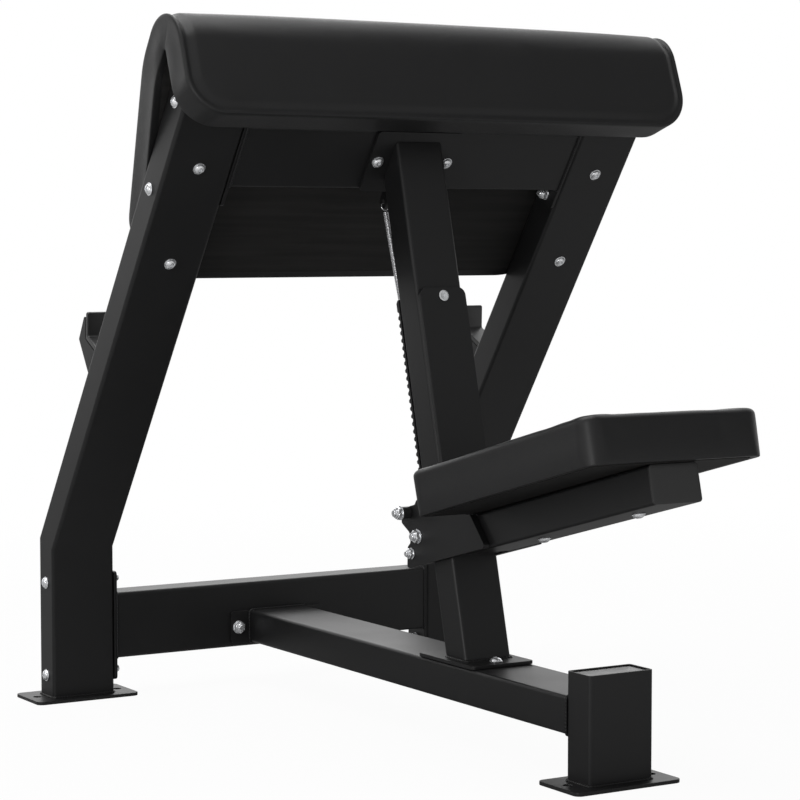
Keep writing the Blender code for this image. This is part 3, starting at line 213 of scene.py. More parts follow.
def measured(outline: Points) -> tuple[Points, Points]:
    """An outline closed on its first point, and how far along it each point lies.

    Args:
        outline: the outline's points in turn.

    Returns:
        The closed outline, and the sum of the steps up to each of its points.
    """
    closed = np.concatenate([outline, outline[:1]])
    steps = np.linalg.norm(np.diff(closed, axis=0), axis=1)
    return closed, np.concatenate([[0], np.cumsum(steps)])


def sampled(at: Points, run: Points, line: Points) -> Points:
    """The points of a line in a plane at given distances, straight between its own points."""
    return np.stack([np.interp(at, run, line[:, axis]) for axis in (0, 1)], 1)


def outward(outline: Points) -> Points:
    """The outward step of each point of an outline, long enough to keep its sides level.

    A point's step is the mean of its two sides' normals over the square of that mean's length,
    which is kept from getting too short at a sharp corner.

    Args:
        outline: an anticlockwise outline.

    Returns:
        The step at each point.
    """
    after = np.roll(outline, -1, 0) - outline
    after /= np.maximum(np.linalg.norm(after, axis=1, keepdims=True), 1e-9)
    normal = np.stack([after[:, 1], -after[:, 0]], 1)
    both = normal + np.roll(normal, 1, 0)
    return both / np.maximum((both * both).sum(1, keepdims=True) / 2, 0.3)


def anticlockwise(outline: Points) -> Points:
    """An outline turned round if it runs clockwise, told by the sign of its area.

    Args:
        outline: the outline's points in turn.

    Returns:
        The same points, anticlockwise.
    """
    x, y = outline.T
    area = (x * np.roll(y, -1) - np.roll(x, -1) * y).sum()
    return outline if area > 0 else outline[::-1]


# Surfaces


@dataclass
class Skin:
    """A surface held as points and faces, ready to become a mesh."""

    points: Points
    faces: list[list[int]]

    @staticmethod
    def grid(rows: Points, wrap: bool = True, loop: bool = False, caps: bool = True) -> "Skin":
        """A skin over a grid of points: square (i, j) joins rows i and i + 1 between j and j + 1.

        Args:
            rows: the grid, shaped (rows, points in a row, 3).
            wrap: whether the last point of a row joins its first.
            loop: whether the last row joins the first.
            caps: whether the first and last rows are closed with a face.

        Returns:
            The skin, closed if it wraps and either loops or is capped.
        """
        count, across = rows.shape[:2]
        i = np.arange(count if loop else count - 1)[:, None]
        j = np.arange(across if wrap else across - 1)[None, :]
        after, beside = (i + 1) % count, (j + 1) % across
        corners = [i * across + j, i * across + beside, after * across + beside, after * across + j]
        faces = np.stack([np.broadcast_to(c, (i.size, j.size)) for c in corners], -1)
        faces = faces.reshape(-1, 4).tolist()
        if caps and not loop:
            faces.append(np.arange(across)[::-1].tolist())
            faces.append((np.arange(across) + (count - 1) * across).tolist())
        return Skin(rows.reshape(-1, 3), faces)

    @staticmethod
    def joined(skins: "list[Skin]") -> "Skin":
        """Several skins as one, the face numbers of each moved on by the points before it.

        Args:
            skins: the skins in turn.

        Returns:
            One skin of all their points and faces.
        """
        starts = np.cumsum([0] + [len(skin.points) for skin in skins[:-1]]).tolist()
        faces = [[k + start for k in face] for skin, start in zip(skins, starts) for face in skin.faces]
        return Skin(np.concatenate([skin.points for skin in skins]), faces)

    def placed(self, datum: Datum) -> "Skin":
        """The same skin in the bench's frame, from one given in a datum."""
        return Skin(datum.world(self.points), self.faces)

    def mesh(self, name: str) -> bpy.types.Mesh:
        """A mesh of the skin, its doubles merged and its faces turned outwards.

        Args:
            name: the mesh's name.

        Returns:
            The new mesh.
        """
        made = bpy.data.meshes.new(name)
        made.from_pydata(self.points.tolist(), [], self.faces)
        bm = bmesh.new()
        bm.from_mesh(made)
        bmesh.ops.remove_doubles(bm, verts=bm.verts, dist=2e-6)
        bmesh.ops.dissolve_degenerate(bm, edges=bm.edges, dist=1e-7)
        bmesh.ops.recalc_face_normals(bm, faces=bm.faces)
        bm.to_mesh(made)
        bm.free()
        return made


def prism(outline: Points, low: float, high: float, edge: float = 0.0006) -> Skin:
    """A plate of an outline between two heights, its rims rounded.

    At angle a round a rim the outline is drawn in by edge (1 - sin a), at edge (1 - cos a) from
    the face.

    Args:
        outline: the plate's outline in X and Y.
        low: the height of its lower face.
        high: the height of its upper face.
        edge: the rims' radius.

    Returns:
        The closed skin.
    """
    ring = anticlockwise(outline)
    step = outward(ring)
    angle = np.radians(np.array((0.0, 45.0, 90.0)))
    drawn = edge * (1 - np.sin(angle))
    rise = edge * (1 - np.cos(angle))
    inset = np.concatenate([drawn, drawn[::-1]])[:, None, None]
    height = np.concatenate([low + rise, (high - rise)[::-1]])
    flat = ring[None] - inset * step[None]
    level = np.broadcast_to(height[:, None, None], (len(height), len(ring), 1))
    return Skin.grid(np.concatenate([flat, level], -1))


def sideways(skin: Skin) -> Skin:
    """A skin drawn in (depth, height) and across, turned so that those are Y, Z and X."""
    return Skin(skin.points[:, [2, 0, 1]], skin.faces)


def around(radius: Points, angle: Points, height: Points) -> Points:
    """A grid about Z: (radius cos angle, radius sin angle, height), each spread over the others."""
    return np.stack(np.broadcast_arrays(radius * np.cos(angle), radius * np.sin(angle), height), -1)


def full_turn(steps: int) -> Points:
    """The angles of a circle's points, evenly round from 0."""
    return np.linspace(0, 2 * math.pi, steps, endpoint=False)


def turned(profile: list[Pair], segments: int = 48) -> Skin:
    """A lathe-turned form: each (radius, height) of the profile is a circle about Z.

    Args:
        profile: the section's points in turn.
        segments: the sides of each circle.

    Returns:
        The skin, closed where the profile starts and ends on the axis or on itself.
    """
    radius, height = np.asarray(profile, float).T
    rows = around(radius[:, None], full_turn(segments), height[:, None])
    return Skin.grid(rows, loop=bool(radius[0] > 0), caps=False)


def box_tube(
    wide: float, narrow: float, cuts: list, runs: list, middle: Pair = (0.0, 0.0)
) -> Skin:
    """A hollow tube: an outer and an inner ring carried along each run on to the next cut plane.

    A point p goes along run r to p + r ((c - p) . n) / (r . n) on the plane through c square to n.
    The rows go down the outside and come back up the inside, so the skin is closed.

    Args:
        wide: the section's width, along X.
        narrow: the section's depth, along Y.
        cuts: the planes, each a point and a normal.
        runs: the directions between them.
        middle: the section's centre.

    Returns:
        The closed skin.
    """
    rings = []
    for shrink in (0.0, TUBE_WALL):
        flat = rounded_rectangle(wide - 2 * shrink, narrow - 2 * shrink, TUBE_CORNER - shrink)
        ring = np.concatenate([flat + middle, np.zeros((len(flat), 1))], 1)
        stations = []
        for (point, normal), run in zip(cuts, [runs[0], *runs]):
            run, normal = np.asarray(run, float), np.asarray(normal, float)
            ring = ring + run * (((np.asarray(point) - ring) @ normal) / (run @ normal))[:, None]
            stations.append(ring)
        rings.append(stations)
    return Skin.grid(np.stack(rings[0] + rings[1][::-1]), loop=True)


def swept(path: Points, section: Points, side: Points, rise: Points, loop: bool) -> Skin:
    """A section carried along a path: point + side times its first size + rise times its second.

    Args:
        path: the path's points.
        section: the section's (side, rise) sizes, one set or one for each point of the path.
        side: the direction of the first size at each point.
        rise: the direction of the second.
        loop: whether the path closes on itself.

    Returns:
        The skin, with end faces where the path is open.
    """
    section = np.broadcast_to(section, (len(path), *section.shape[-2:]))
    rows = path[:, None] + section[..., :1] * side[:, None] + section[..., 1:] * rise[:, None]
    return Skin.grid(rows, loop=loop)


# Shader maths


class Value:
    """A shader socket that Python's operators work on; each adds a Math node."""

    def __init__(self, graph: "Graph", socket: bpy.types.NodeSocket) -> None:
        """Keep the socket and the graph it belongs to."""
        self.graph, self.socket = graph, socket

    def _math(self, operation: str, first: "Value | float", second: "Value | float" = 0.0) -> "Value":
        """One Math node on two values."""
        return self.graph.node("Math", {"operation": operation}, {0: first, 1: second})

    def __add__(self, other: "Value | float") -> "Value":
        """The sum."""
        return self._math("ADD", self, other)

    __radd__ = __add__

    def __sub__(self, other: "Value | float") -> "Value":
        """The difference."""
        return self._math("SUBTRACT", self, other)

    def __rsub__(self, other: float) -> "Value":
        """A number less this value."""
        return self._math("SUBTRACT", other, self)

    def __mul__(self, other: "Value | float") -> "Value":
        """The product."""
        return self._math("MULTIPLY", self, other)

    __rmul__ = __mul__

    def power(self, exponent: float) -> "Value":
        """This value raised to a power."""
        return self._math("POWER", self, exponent)

    def above(self, low: float, high: float) -> "Value":
        """A smooth step of this value.

        Args:
            low: where the step is 0.
            high: where it is 1.

        Returns:
            The step.
        """
        inputs = {"Value": self, "From Min": low, "From Max": high}
        return self.graph.node("MapRange", {"interpolation_type": "SMOOTHSTEP"}, inputs)


class Graph:
    """The node tree of a material or of the world, and the one way nodes are added to it."""

    def __init__(self, tree: bpy.types.NodeTree) -> None:
        """Start from an empty tree."""
        self.tree = tree
        tree.nodes.clear()

    def node(
        self, kind: str, settings: dict | None = None, inputs: dict | None = None, out: int | str = 0
    ) -> Value:
        """Add a node.

        Args:
            kind: its type, without the word ShaderNode.
            settings: its properties, set before its sockets.
            inputs: a value, a number or a link for each socket, by name or place.
            out: the socket that is handed back.

        Returns:
            The output as a value, or the first one where it has none.
        """
        made = self.tree.nodes.new(f"ShaderNode{kind}")
        for name, value in (settings or {}).items():
            setattr(made, name, value)
        for name, value in (inputs or {}).items():
            if isinstance(value, Value):
                self.tree.links.new(value.socket, made.inputs[name])
            else:
                made.inputs[name].default_value = value
        return Value(self, made.outputs[out] if made.outputs else None)

    def mixed(self, share: Value, first: Value | tuple, second: Value | tuple) -> Value:
        """Two colours blended by a share of the second."""
        return self.node("Mix", {"data_type": "RGBA"}, {0: share, 6: first, 7: second}, 2)

    def noise(self, where: Value, scale: float, detail: float = 2.0, rough: float = 0.5) -> Value:
        """Soft noise of a scale, per metre."""
        inputs = {"Vector": where, "Scale": scale, "Detail": detail, "Roughness": rough}
        return self.node("TexNoise", {}, inputs)

    def bump(self, height: Value, distance: float, strength: float) -> Value:
        """A normal tilted by a height, in metres when it is 1."""
        inputs = {"Height": height, "Distance": distance, "Strength": strength}
        return self.node("Bump", {}, inputs)


@dataclass(frozen=True)
class Finish:
    """What every finish of the bench shares: a colour, its gloss, and the slot it belongs to."""

    name: str
    slot: str
    colour: Place
    roughness: float
    metallic: float = 0.0
    specular: float = 0.5

    def material(self) -> bpy.types.Material:
        """The finish's material, made on first use.

        Returns:
            The material, its changing sockets fed by the finish's surface.
        """
        made = bpy.data.materials.get(self.name)
        if made is None:
            made = bpy.data.materials.new(self.name)
            made.use_nodes = True
            graph = Graph(made.node_tree)
            where = graph.node("TexCoord", out="Object")
            sockets = {
                "Base Color": (*self.colour, 1.0), "Roughness": self.roughness,
                "Metallic": self.metallic, "Specular IOR Level": self.specular,
            }
            sockets.update(self.surface(graph, where))
            shader = graph.node("BsdfPrincipled", {}, sockets)
            graph.node("OutputMaterial", {}, {"Surface": shader})
        return made

    def surface(self, graph: Graph, where: Value) -> dict[str, Value]:
        """The sockets whose values change over the surface.

        Args:
            graph: the material's tree.
            where: a place on the piece, in metres.

        Returns:
            A value for each changing socket.
        """
        raise NotImplementedError

    def shade(self, graph: Graph, share: Value, spread: float) -> Value:
        """The finish's colour made uneven: times 1 - spread at a share of 0, 1 + spread at 1.

        Args:
            graph: the material's tree.
            share: where between the two the surface is.
            spread: how far each goes from the colour.

        Returns:
            The blended colour.
        """
        dark = (*(c * (1 - spread) for c in self.colour), 1.0)
        light = (*(min(1.0, c * (1 + spread)) for c in self.colour), 1.0)
        return graph.mixed(share, dark, light)


@dataclass(frozen=True)
class PowderCoat(Finish):
    """Baked powder paint: fine orange-peel, and broad faint changes of gloss."""

    cloud: float = 9.0
    grain: float = 620.0
    grit: float = 2790.0
    grit_share: float = 0.35
    depth: float = 0.00006

    def surface(self, graph: Graph, where: Value) -> dict[str, Value]:
        """Orange-peel is noise of the grain and the grit; gloss changes over a hand's breadth.

        Args:
            graph: the material's tree.
            where: a place on the piece, in metres.

        Returns:
            A value for each changing socket.
        """
        broad = graph.noise(where, self.cloud, 3.0)
        peel = graph.noise(where, self.grain, 1.5)
        grit = graph.noise(where, self.grit, 1.0)
        return {
            "Base Color": self.shade(graph, broad, 0.14),
            "Roughness": broad * 0.10 + (self.roughness - 0.05),
            "Normal": graph.bump(peel + grit * self.grit_share, self.depth, 0.55),
        }


@dataclass(frozen=True)
class Vinyl(Finish):
    """Upholstery vinyl: small pebbles between fine creases, and a sheen that varies softly."""

    pebble: float = 640.0
    bend_scale: float = 256.0
    bend: float = 0.0009
    crease_width: float = 0.16
    cloud: float = 14.0
    depth: float = 0.00007

    def surface(self, graph: Graph, where: Value) -> dict[str, Value]:
        """Pebbles are rounded cells with creased borders, darker in colour as painted shade; noise bends
        the cells out of line.

        Args:
            graph: the material's tree.
            where: a place on the piece, in metres.

        Returns:
            A value for each changing socket.
        """
        warp = graph.node("TexNoise", {}, {"Vector": where, "Scale": self.bend_scale}, "Color")
        shifts = {0: warp, 1: (self.bend, self.bend, self.bend), 2: where}
        bent = graph.node("VectorMath", {"operation": "MULTIPLY_ADD"}, shifts)
        spread = {"Vector": bent, "Scale": self.pebble}
        crease = graph.node("TexVoronoi", {"feature": "DISTANCE_TO_EDGE"}, spread)
        crease = crease.above(0.0, self.crease_width)
        broad = graph.noise(where, self.cloud, 3.0)
        return {
            # The creases' darker colour is painted shade in the grain.
            "Base Color": self.shade(graph, crease * 0.6 + broad * 0.4, 0.16),
            "Roughness": broad * 0.10 + (1 - crease) * 0.08 + (self.roughness - 0.06),
            "Normal": graph.bump(crease, self.depth, 0.45),
        }


@dataclass(frozen=True)
class Moulded(Finish):
    """Moulded plastic: a fine etched texture."""

    cloud: float = 30.0
    etch: float = 1500.0
    depth: float = 0.00005

    def surface(self, graph: Graph, where: Value) -> dict[str, Value]:
        """The etch is one fine noise; colour and gloss follow a broad one.

        Args:
            graph: the material's tree.
            where: a place on the piece, in metres.

        Returns:
            A value for each changing socket.
        """
        broad = graph.noise(where, self.cloud)
        return {
            "Base Color": self.shade(graph, broad, 0.12),
            "Roughness": broad * 0.08 + (self.roughness - 0.04),
            "Normal": graph.bump(graph.noise(where, self.etch, 2.0), self.depth, 0.5),
        }


@dataclass(frozen=True)
class Plated(Finish):
    """Zinc plate: faint crystals and handling marks in the gloss."""

    crystal: float = 420.0
    mark: float = 260.0
    depth: float = 0.00002

    def surface(self, graph: Graph, where: Value) -> dict[str, Value]:
        """Crystals are cells, each of its own gloss; marks are rough noise.

        Args:
            graph: the material's tree.
            where: a place on the piece, in metres.

        Returns:
            A value for each changing socket.
        """
        cells = graph.node("TexVoronoi", {}, {"Vector": where, "Scale": self.crystal}, "Color")
        grey = graph.node("RGBToBW", {}, {"Color": cells})
        marks = graph.noise(where, self.mark, 4.0, 0.65)
        return {
            "Base Color": self.shade(graph, grey * 0.5 + marks * 0.5, 0.06),
            "Roughness": marks * 0.08 + grey * 0.03 + (self.roughness - 0.05),
            "Normal": graph.bump(marks, self.depth, 0.12),
        }


@dataclass(frozen=True)
class Ply(Finish):
    """Black-stained plywood: grain drawn out along X."""

    grain_scale: Place = (5.0, 110.0, 110.0)
    depth: float = 0.0003

    def surface(self, graph: Graph, where: Value) -> dict[str, Value]:
        """Grain is noise on coordinates squeezed along X, with pores darker than the field.

        Args:
            graph: the material's tree.
            where: a place on the piece, in metres.

        Returns:
            A value for each changing socket.
        """
        drawn = graph.node("Mapping", {}, {"Vector": where, "Scale": self.grain_scale})
        grain = graph.node("TexNoise", {}, {"Vector": drawn, "Scale": 1.0, "Detail": 5.0})
        return {
            "Base Color": self.shade(graph, grain.above(0.3, 0.75), 0.35),
            "Roughness": grain * 0.2 + (self.roughness - 0.1),
            "Normal": graph.bump(grain, self.depth, 0.5),
        }


PAINT = PowderCoat(
    "black_powder_coat", "powder_coated_steel", (0.0112, 0.0112, 0.0116), 0.42, specular=0.38
)
WELD_PAINT = PowderCoat(
    "painted_weld", "powder_coated_steel", (0.0125, 0.0125, 0.0130), 0.38, specular=0.25
)
COVER = Vinyl("black_pad_vinyl", "pad_vinyl", (0.0095, 0.0095, 0.0099), 0.42, specular=0.38)
CAP_PLASTIC = Moulded(
    "moulded_black_plastic", "black_plastic", (0.0120, 0.0120, 0.0122), 0.34, specular=0.85
)
NYLON = Moulded("turned_black_nylon", "black_nylon", (0.0160, 0.0160, 0.0165), 0.40, etch=900.0)
ZINC = Plated("bright_zinc", "zinc_steel", (0.90, 0.91, 0.93), 0.24, 0.75)
SPRING_WIRE = Plated("drawn_spring_wire", "spring_steel", (0.92, 0.92, 0.94), 0.26, 0.8)
BACKING = Ply("stained_backing_board", "blackened_plywood", (0.0130, 0.0125, 0.0120), 0.72, specular=0.3)


# Making pieces


class Body(Enum):
    """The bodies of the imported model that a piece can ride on."""

    FRAME = "frame"
    SLIDER = "slider"
    CARRIAGE = "carriage"
    ROLLER = "roller"


RIM_ANGLE = math.radians(50)


def settled(piece: bpy.types.Object) -> None:
    """Take the piece's modifiers into its mesh.

    Args:
        piece: the object, whose modifiers are used up.
    """
    graph = bpy.context.evaluated_depsgraph_get()
    piece.update_tag()
    bpy.context.view_layer.update()
    final = bpy.data.meshes.new_from_object(piece.evaluated_get(graph))
    piece.modifiers.clear()
    piece.data = final


def loose(name: str, data: bpy.types.ID) -> bpy.types.Object:
    """A new object of a mesh, a lamp or a camera, linked into the scene.

    Args:
        name: the object's name.
        data: what it holds.

    Returns:
        The object, at the origin.
    """
    made = bpy.data.objects.new(name, data)
    bpy.context.scene.collection.objects.link(made)
    return made


def cut_away(piece: bpy.types.Object, cutters: tuple[Skin, ...]) -> None:
    """Take each cutter's space out of the piece.

    Args:
        piece: the object that is cut.
        cutters: closed skins, in the bench's frame.
    """
    for cutter in cutters:
        tool = loose("cutter", cutter.mesh("cutter"))
        modifier = piece.modifiers.new("cut", "BOOLEAN")
        modifier.solver, modifier.operation, modifier.object = "EXACT", "DIFFERENCE", tool
        settled(piece)
        bpy.data.objects.remove(tool, do_unlink=True)


def add_piece(
    name: str, skin: Skin, finish: Finish, node: str = "", body: Body = Body.FRAME,
    cutters: tuple[Skin, ...] = (), rim: float = 0.0, sharp: float = 35.0,
) -> bpy.types.Object:
    """Make a finished piece and put it on its body.

    Args:
        name: the piece's name.
        skin: its surface, in the bench's frame.
        finish: what it is covered with.
        node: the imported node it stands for, if any.
        body: what it moves with.
        cutters: skins whose space is taken out of it.
        rim: a rounding for its square edges.
        sharp: the angle in degrees past which an edge stays sharp.

    Returns:
        The new object.
    """
    piece = loose(name, skin.mesh(name))
    cut_away(piece, cutters)
    if rim:
        bevel = piece.modifiers.new("rim", "BEVEL")
        bevel.width, bevel.segments, bevel.angle_limit = rim, 2, RIM_ANGLE
    dressed(piece, finish, node, body, sharp)
    return piece


def dressed(piece: bpy.types.Object, finish: Finish, node: str, body: Body, sharp: float) -> None:
    """Smooth a piece's shading, give it its finish, and put it on its body.

    Args:
        piece: the object, with its mesh in place.
        finish: what it is covered with.
        node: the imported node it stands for, if any.
        body: what it moves with.
        sharp: the angle in degrees past which an edge stays sharp.
    """
    settled(piece)
    piece.data.shade_smooth()
    piece.data.set_sharp_from_angle(angle=math.radians(sharp))
    even = piece.modifiers.new("even", "WEIGHTED_NORMAL")
    even.keep_sharp = True
    settled(piece)
    piece.data.materials.clear()
    piece.data.materials.append(finish.material())
    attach(piece, body.value)
    if node:
        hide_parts(node)
    LOG.info("%s: %d faces, stands for %s", piece.name, len(piece.data.polygons), node or "no node")


RIPPLE_PITCH = 0.0046
RIPPLE_POINTS = 5
BEAD_SIDES = 7
BEAD_SHARP = 80.0


def weld_bead(name: str, outline: Points, datum: Datum, size: float) -> None:
    """A fillet weld on the frame, round a tube that stands on a plate.

    The bead is a circle carried round the tube's outline, a fifth of its radius out from it, its
    radius swelling and shrinking by a tenth with each ripple.

    Args:
        name: the piece's name.
        outline: the tube's outline in the datum's XY plane, on the plate's face.
        datum: the place of that face, its Z away from the plate.
        size: the bead's radius.
    """
    closed, run = measured(anticlockwise(outline))
    ripples = round(run[-1] / RIPPLE_PITCH)
    at = np.linspace(0, run[-1], RIPPLE_POINTS * ripples, endpoint=False)
    path = sampled(at, run, closed)
    step = outward(path)
    swell = size * (1 + 0.1 * np.cos(2 * math.pi * ripples * at / run[-1]))
    angle = full_turn(BEAD_SIDES)
    section = swell[:, None, None] * np.stack([np.cos(angle), np.sin(angle)], 1)
    level = np.zeros((len(path), 1))
    centre = np.concatenate([path + 0.2 * size * step, level], 1)
    side = np.concatenate([step, level], 1)
    bead = swept(centre, section, side, np.broadcast_to(UP, side.shape), True)
    add_piece(name, bead.placed(datum), WELD_PAINT, sharp=BEAD_SHARP)


# Fasteners


@dataclass(frozen=True)
class BoltSize:
    """The sizes of a domed bolt with a hexagon socket, its washer and its self-locking nut."""

    shank: float = 0.005
    head: float = 0.009
    head_height: float = 0.0055
    socket: float = 0.0021
    socket_depth: float = 0.0018
    washer: float = 0.010
    washer_thickness: float = 0.0015
    nut: float = 0.0090
    nut_height: float = 0.008
    thread_pitch: float = 0.0015
    thread_depth: float = 0.00018
    flange: float = 0.0013
    tip: float = 0.003

    def scaled(self, shank: float) -> "BoltSize":
        """The same bolt for another shank, with the same washer thickness, flange, thread and tip.

        Args:
            shank: the other shank's radius.

        Returns:
            The bolt, its other sizes in step with its shank.
        """
        in_step = (
            "shank", "head", "head_height", "socket", "socket_depth", "washer", "nut", "nut_height",
            "thread_pitch",
        )
        return replace(self, **{name: shank / self.shank * getattr(self, name) for name in in_step})


@dataclass(frozen=True)
class Bolt:
    """One bolt: where its head bears, which way it points, and how long its grip is."""

    node: str
    datum: Datum
    grip: float
    size: BoltSize = BoltSize()
    nut: bool = True
    body: Body = Body.FRAME

    def hexed(self, radius: Points, height: Points, flat: Points) -> Skin:
        """Rings that go from round to hexagonal.

        A hexagon's radius at angle t is its flat radius over the cosine of t's distance from the
        nearest flat's middle; each ring blends the circle and the hexagon by its flat share.

        Args:
            radius: each ring's radius, to the flats where it is a hexagon.
            height: each ring's height.
            flat: each ring's share of hexagon, from 0 to 1.

        Returns:
            The skin of the rings.
        """
        angle = full_turn(48)
        off = (angle + math.pi / 6) % (math.pi / 3) - math.pi / 6
        reach = radius[:, None] * (1 + flat[:, None] * (1 / np.cos(off) - 1)[None])
        return Skin.grid(around(reach, angle, height[:, None]), loop=bool(radius[0] > 0), caps=False)

    def head_skin(self) -> Skin:
        """The head and shank: a flange, a dome on it, and a socket in the dome.

        At radius r the dome stands over the flange by its whole height times the cosine of
        83 degrees (r / rim)^1.35, raised to 0.8, so that it is broad and falls steeply at its rim.

        Returns:
            The skin, from the socket's bottom out over the head and down the shank.
        """
        s = self.size
        chamfer, rim = 0.0003, 0.86 * s.head
        r = np.linspace(1.18 * s.socket, rim, 9)
        fall = np.cos(0.46 * math.pi * (r / rim) ** 1.35) ** 0.8
        dome = s.flange + (s.head_height - s.flange) * fall
        dome[-1] = s.flange
        mouth = dome[0]
        bottom = mouth - s.socket_depth
        rows = [
            (0, bottom - 2 * chamfer, 1), (0.7 * s.socket, bottom, 1), (s.socket, bottom, 1),
            (s.socket, mouth - chamfer, 1), (1.06 * s.socket, mouth + chamfer / 3, 0.8),
        ]
        rows += [(a, b + chamfer, 0) for a, b in zip(r[:-1], dome[:-1])]
        rows += [
            (rim, s.flange, 0), (0.975 * s.head, 0.95 * s.flange, 0), (s.head, 0.0008, 0),
            (0.985 * s.head, 0, 0), (s.shank, 0, 0), (s.shank, -self.reach(), 0), (0, -self.reach(), 0),
        ]
        return self.hexed(*np.array(rows, float).T)

    def reach(self) -> float:
        """How far the plain shank goes below the head: to the middle of the nut, or to its end."""
        middle = self.size.washer_thickness + 0.5 * self.size.nut_height
        return self.grip + (middle if self.nut else 0.0)

    def nut_skins(self) -> list[Skin]:
        """The washer, the nut with its chamfers and collar, and the threaded tip.

        Returns:
            The three skins, which run into each other.
        """
        s = self.size
        top = -self.grip - 2 * FIT
        low = top - s.washer_thickness
        end = low - s.nut_height
        bevel, seated = 0.0003, low - 0.0001
        washer = turned([
            (s.shank, top), (s.washer - bevel, top), (s.washer, top - bevel),
            (s.washer, low + bevel), (s.washer - bevel, low), (s.shank, low),
        ])
        flats = 0.90 * s.nut
        rows = np.array([
            (s.shank, seated, 0), (0.97 * flats, seated, 0), (flats, low - 2 * bevel, 1),
            (flats, end + 0.38 * s.nut_height, 1), (0.99 * flats, end + 0.30 * s.nut_height, 0.1),
            (0.86 * flats, end + 0.24 * s.nut_height, 0), (0.84 * flats, end + 0.0008, 0),
            (0.76 * flats, end, 0), (s.shank, end + 0.0002, 0),
        ])
        return [washer, self.hexed(*rows.T), self.thread(end + 0.5 * s.nut_height, end - s.tip)]

    def thread(self, high: float, low: float) -> Skin:
        """A threaded end.

        The radius is the shank's less the thread's depth times a saw, which runs through its
        height less its share of a turn once each pitch, and is drawn in by a root at the tip.

        Args:
            high: the height where it starts, inside the nut.
            low: the height of its tip.

        Returns:
            The skin, closed at both ends.
        """
        s = self.size
        proud, taper, drawn = 0.0001, 0.0012, 0.28
        height = np.linspace(high, low, 61)[:, None]
        angle = full_turn(36)[None]
        saw = np.abs(2 * ((height / s.thread_pitch - angle / (2 * math.pi)) % 1) - 1)
        draw = np.clip((height - low) / taper, 0, 1) ** 0.5
        radius = (s.shank + proud - s.thread_depth * saw) * (1 - drawn + drawn * draw)
        return Skin.grid(around(radius, angle, height))

    def build(self) -> None:
        """Make the whole fastener as one piece in place of its node, a fit off its plate."""
        skin = Skin.joined([self.head_skin()] + (self.nut_skins() if self.nut else []))
        place = self.datum.moved(z=FIT)
        add_piece(f"fitted_{self.node}", skin.placed(place), ZINC, self.node, self.body)


# The frame


@dataclass
class Legs:
    """The two bent legs and the three foot plates."""

    foot_length: float = 0.165
    foot_depth: float = 0.090
    foot_corner: float = 0.010
    foot_rim: float = 0.0007
    hole_pitch: float = 0.131
    hole: float = 0.006
    hole_chamfer: float = 0.0006
    tube_rim: float = 0.0008
    weld: float = 0.0022

    def build(self) -> None:
        """Make both legs, the welds at their feet, and the three foot plates."""
        turn = math.radians(LEG_LEAN)
        slope = np.array((0, -math.sin(turn), math.cos(turn)))
        mitre = np.array((0, -math.sin(turn / 2), math.cos(turn / 2)))
        knee = np.array((0, 0, KNEE_HEIGHT))
        cuts = [((0, 0, FIT), UP), (knee, mitre), (knee + slope * LEG_SLOPE, slope)]
        middle = TUBE_NARROW / 2
        skin = box_tube(TUBE_WIDE, TUBE_NARROW, cuts, [UP, slope], (0, middle))
        for side, hand in HANDS:
            at = STAND.moved(x=hand * LEG_PITCH / 2)
            add_piece(f"{side}_leg_tube", skin.placed(at), PAINT, f"leg_{side}", rim=self.tube_rim)
            weld_bead(f"{side}_leg_foot_weld", tube_section(middle), at.moved(z=FIT), self.weld)
            self.foot(f"foot_plate_{side}", at.moved(y=middle))
        self.foot("foot_plate_rear", STAND.moved(y=REAR_POST_DEPTH))

    def foot(self, node: str, at: Datum) -> None:
        """A foot plate: a rounded slab with two bored and chamfered holes.

        Args:
            node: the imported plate.
            at: the middle of its upper face.
        """
        planform = rounded_rectangle(self.foot_length, self.foot_depth, self.foot_corner, 8)
        slab = prism(planform, -PLATE, 0, self.foot_rim)
        chamfer, past = self.hole_chamfer, 0.002
        mouth = self.hole + chamfer
        bore = [
            (0, past), (mouth, past), (mouth, 0), (self.hole, -chamfer), (self.hole, -PLATE + chamfer),
            (mouth, -PLATE), (mouth, -PLATE - past), (0, -PLATE - past),
        ]
        holes = tuple(turned(bore).placed(at.moved(x=hand * self.hole_pitch / 2)) for _, hand in HANDS)
        add_piece(f"{node}_pressed", slab.placed(at), PAINT, node, cutters=holes)


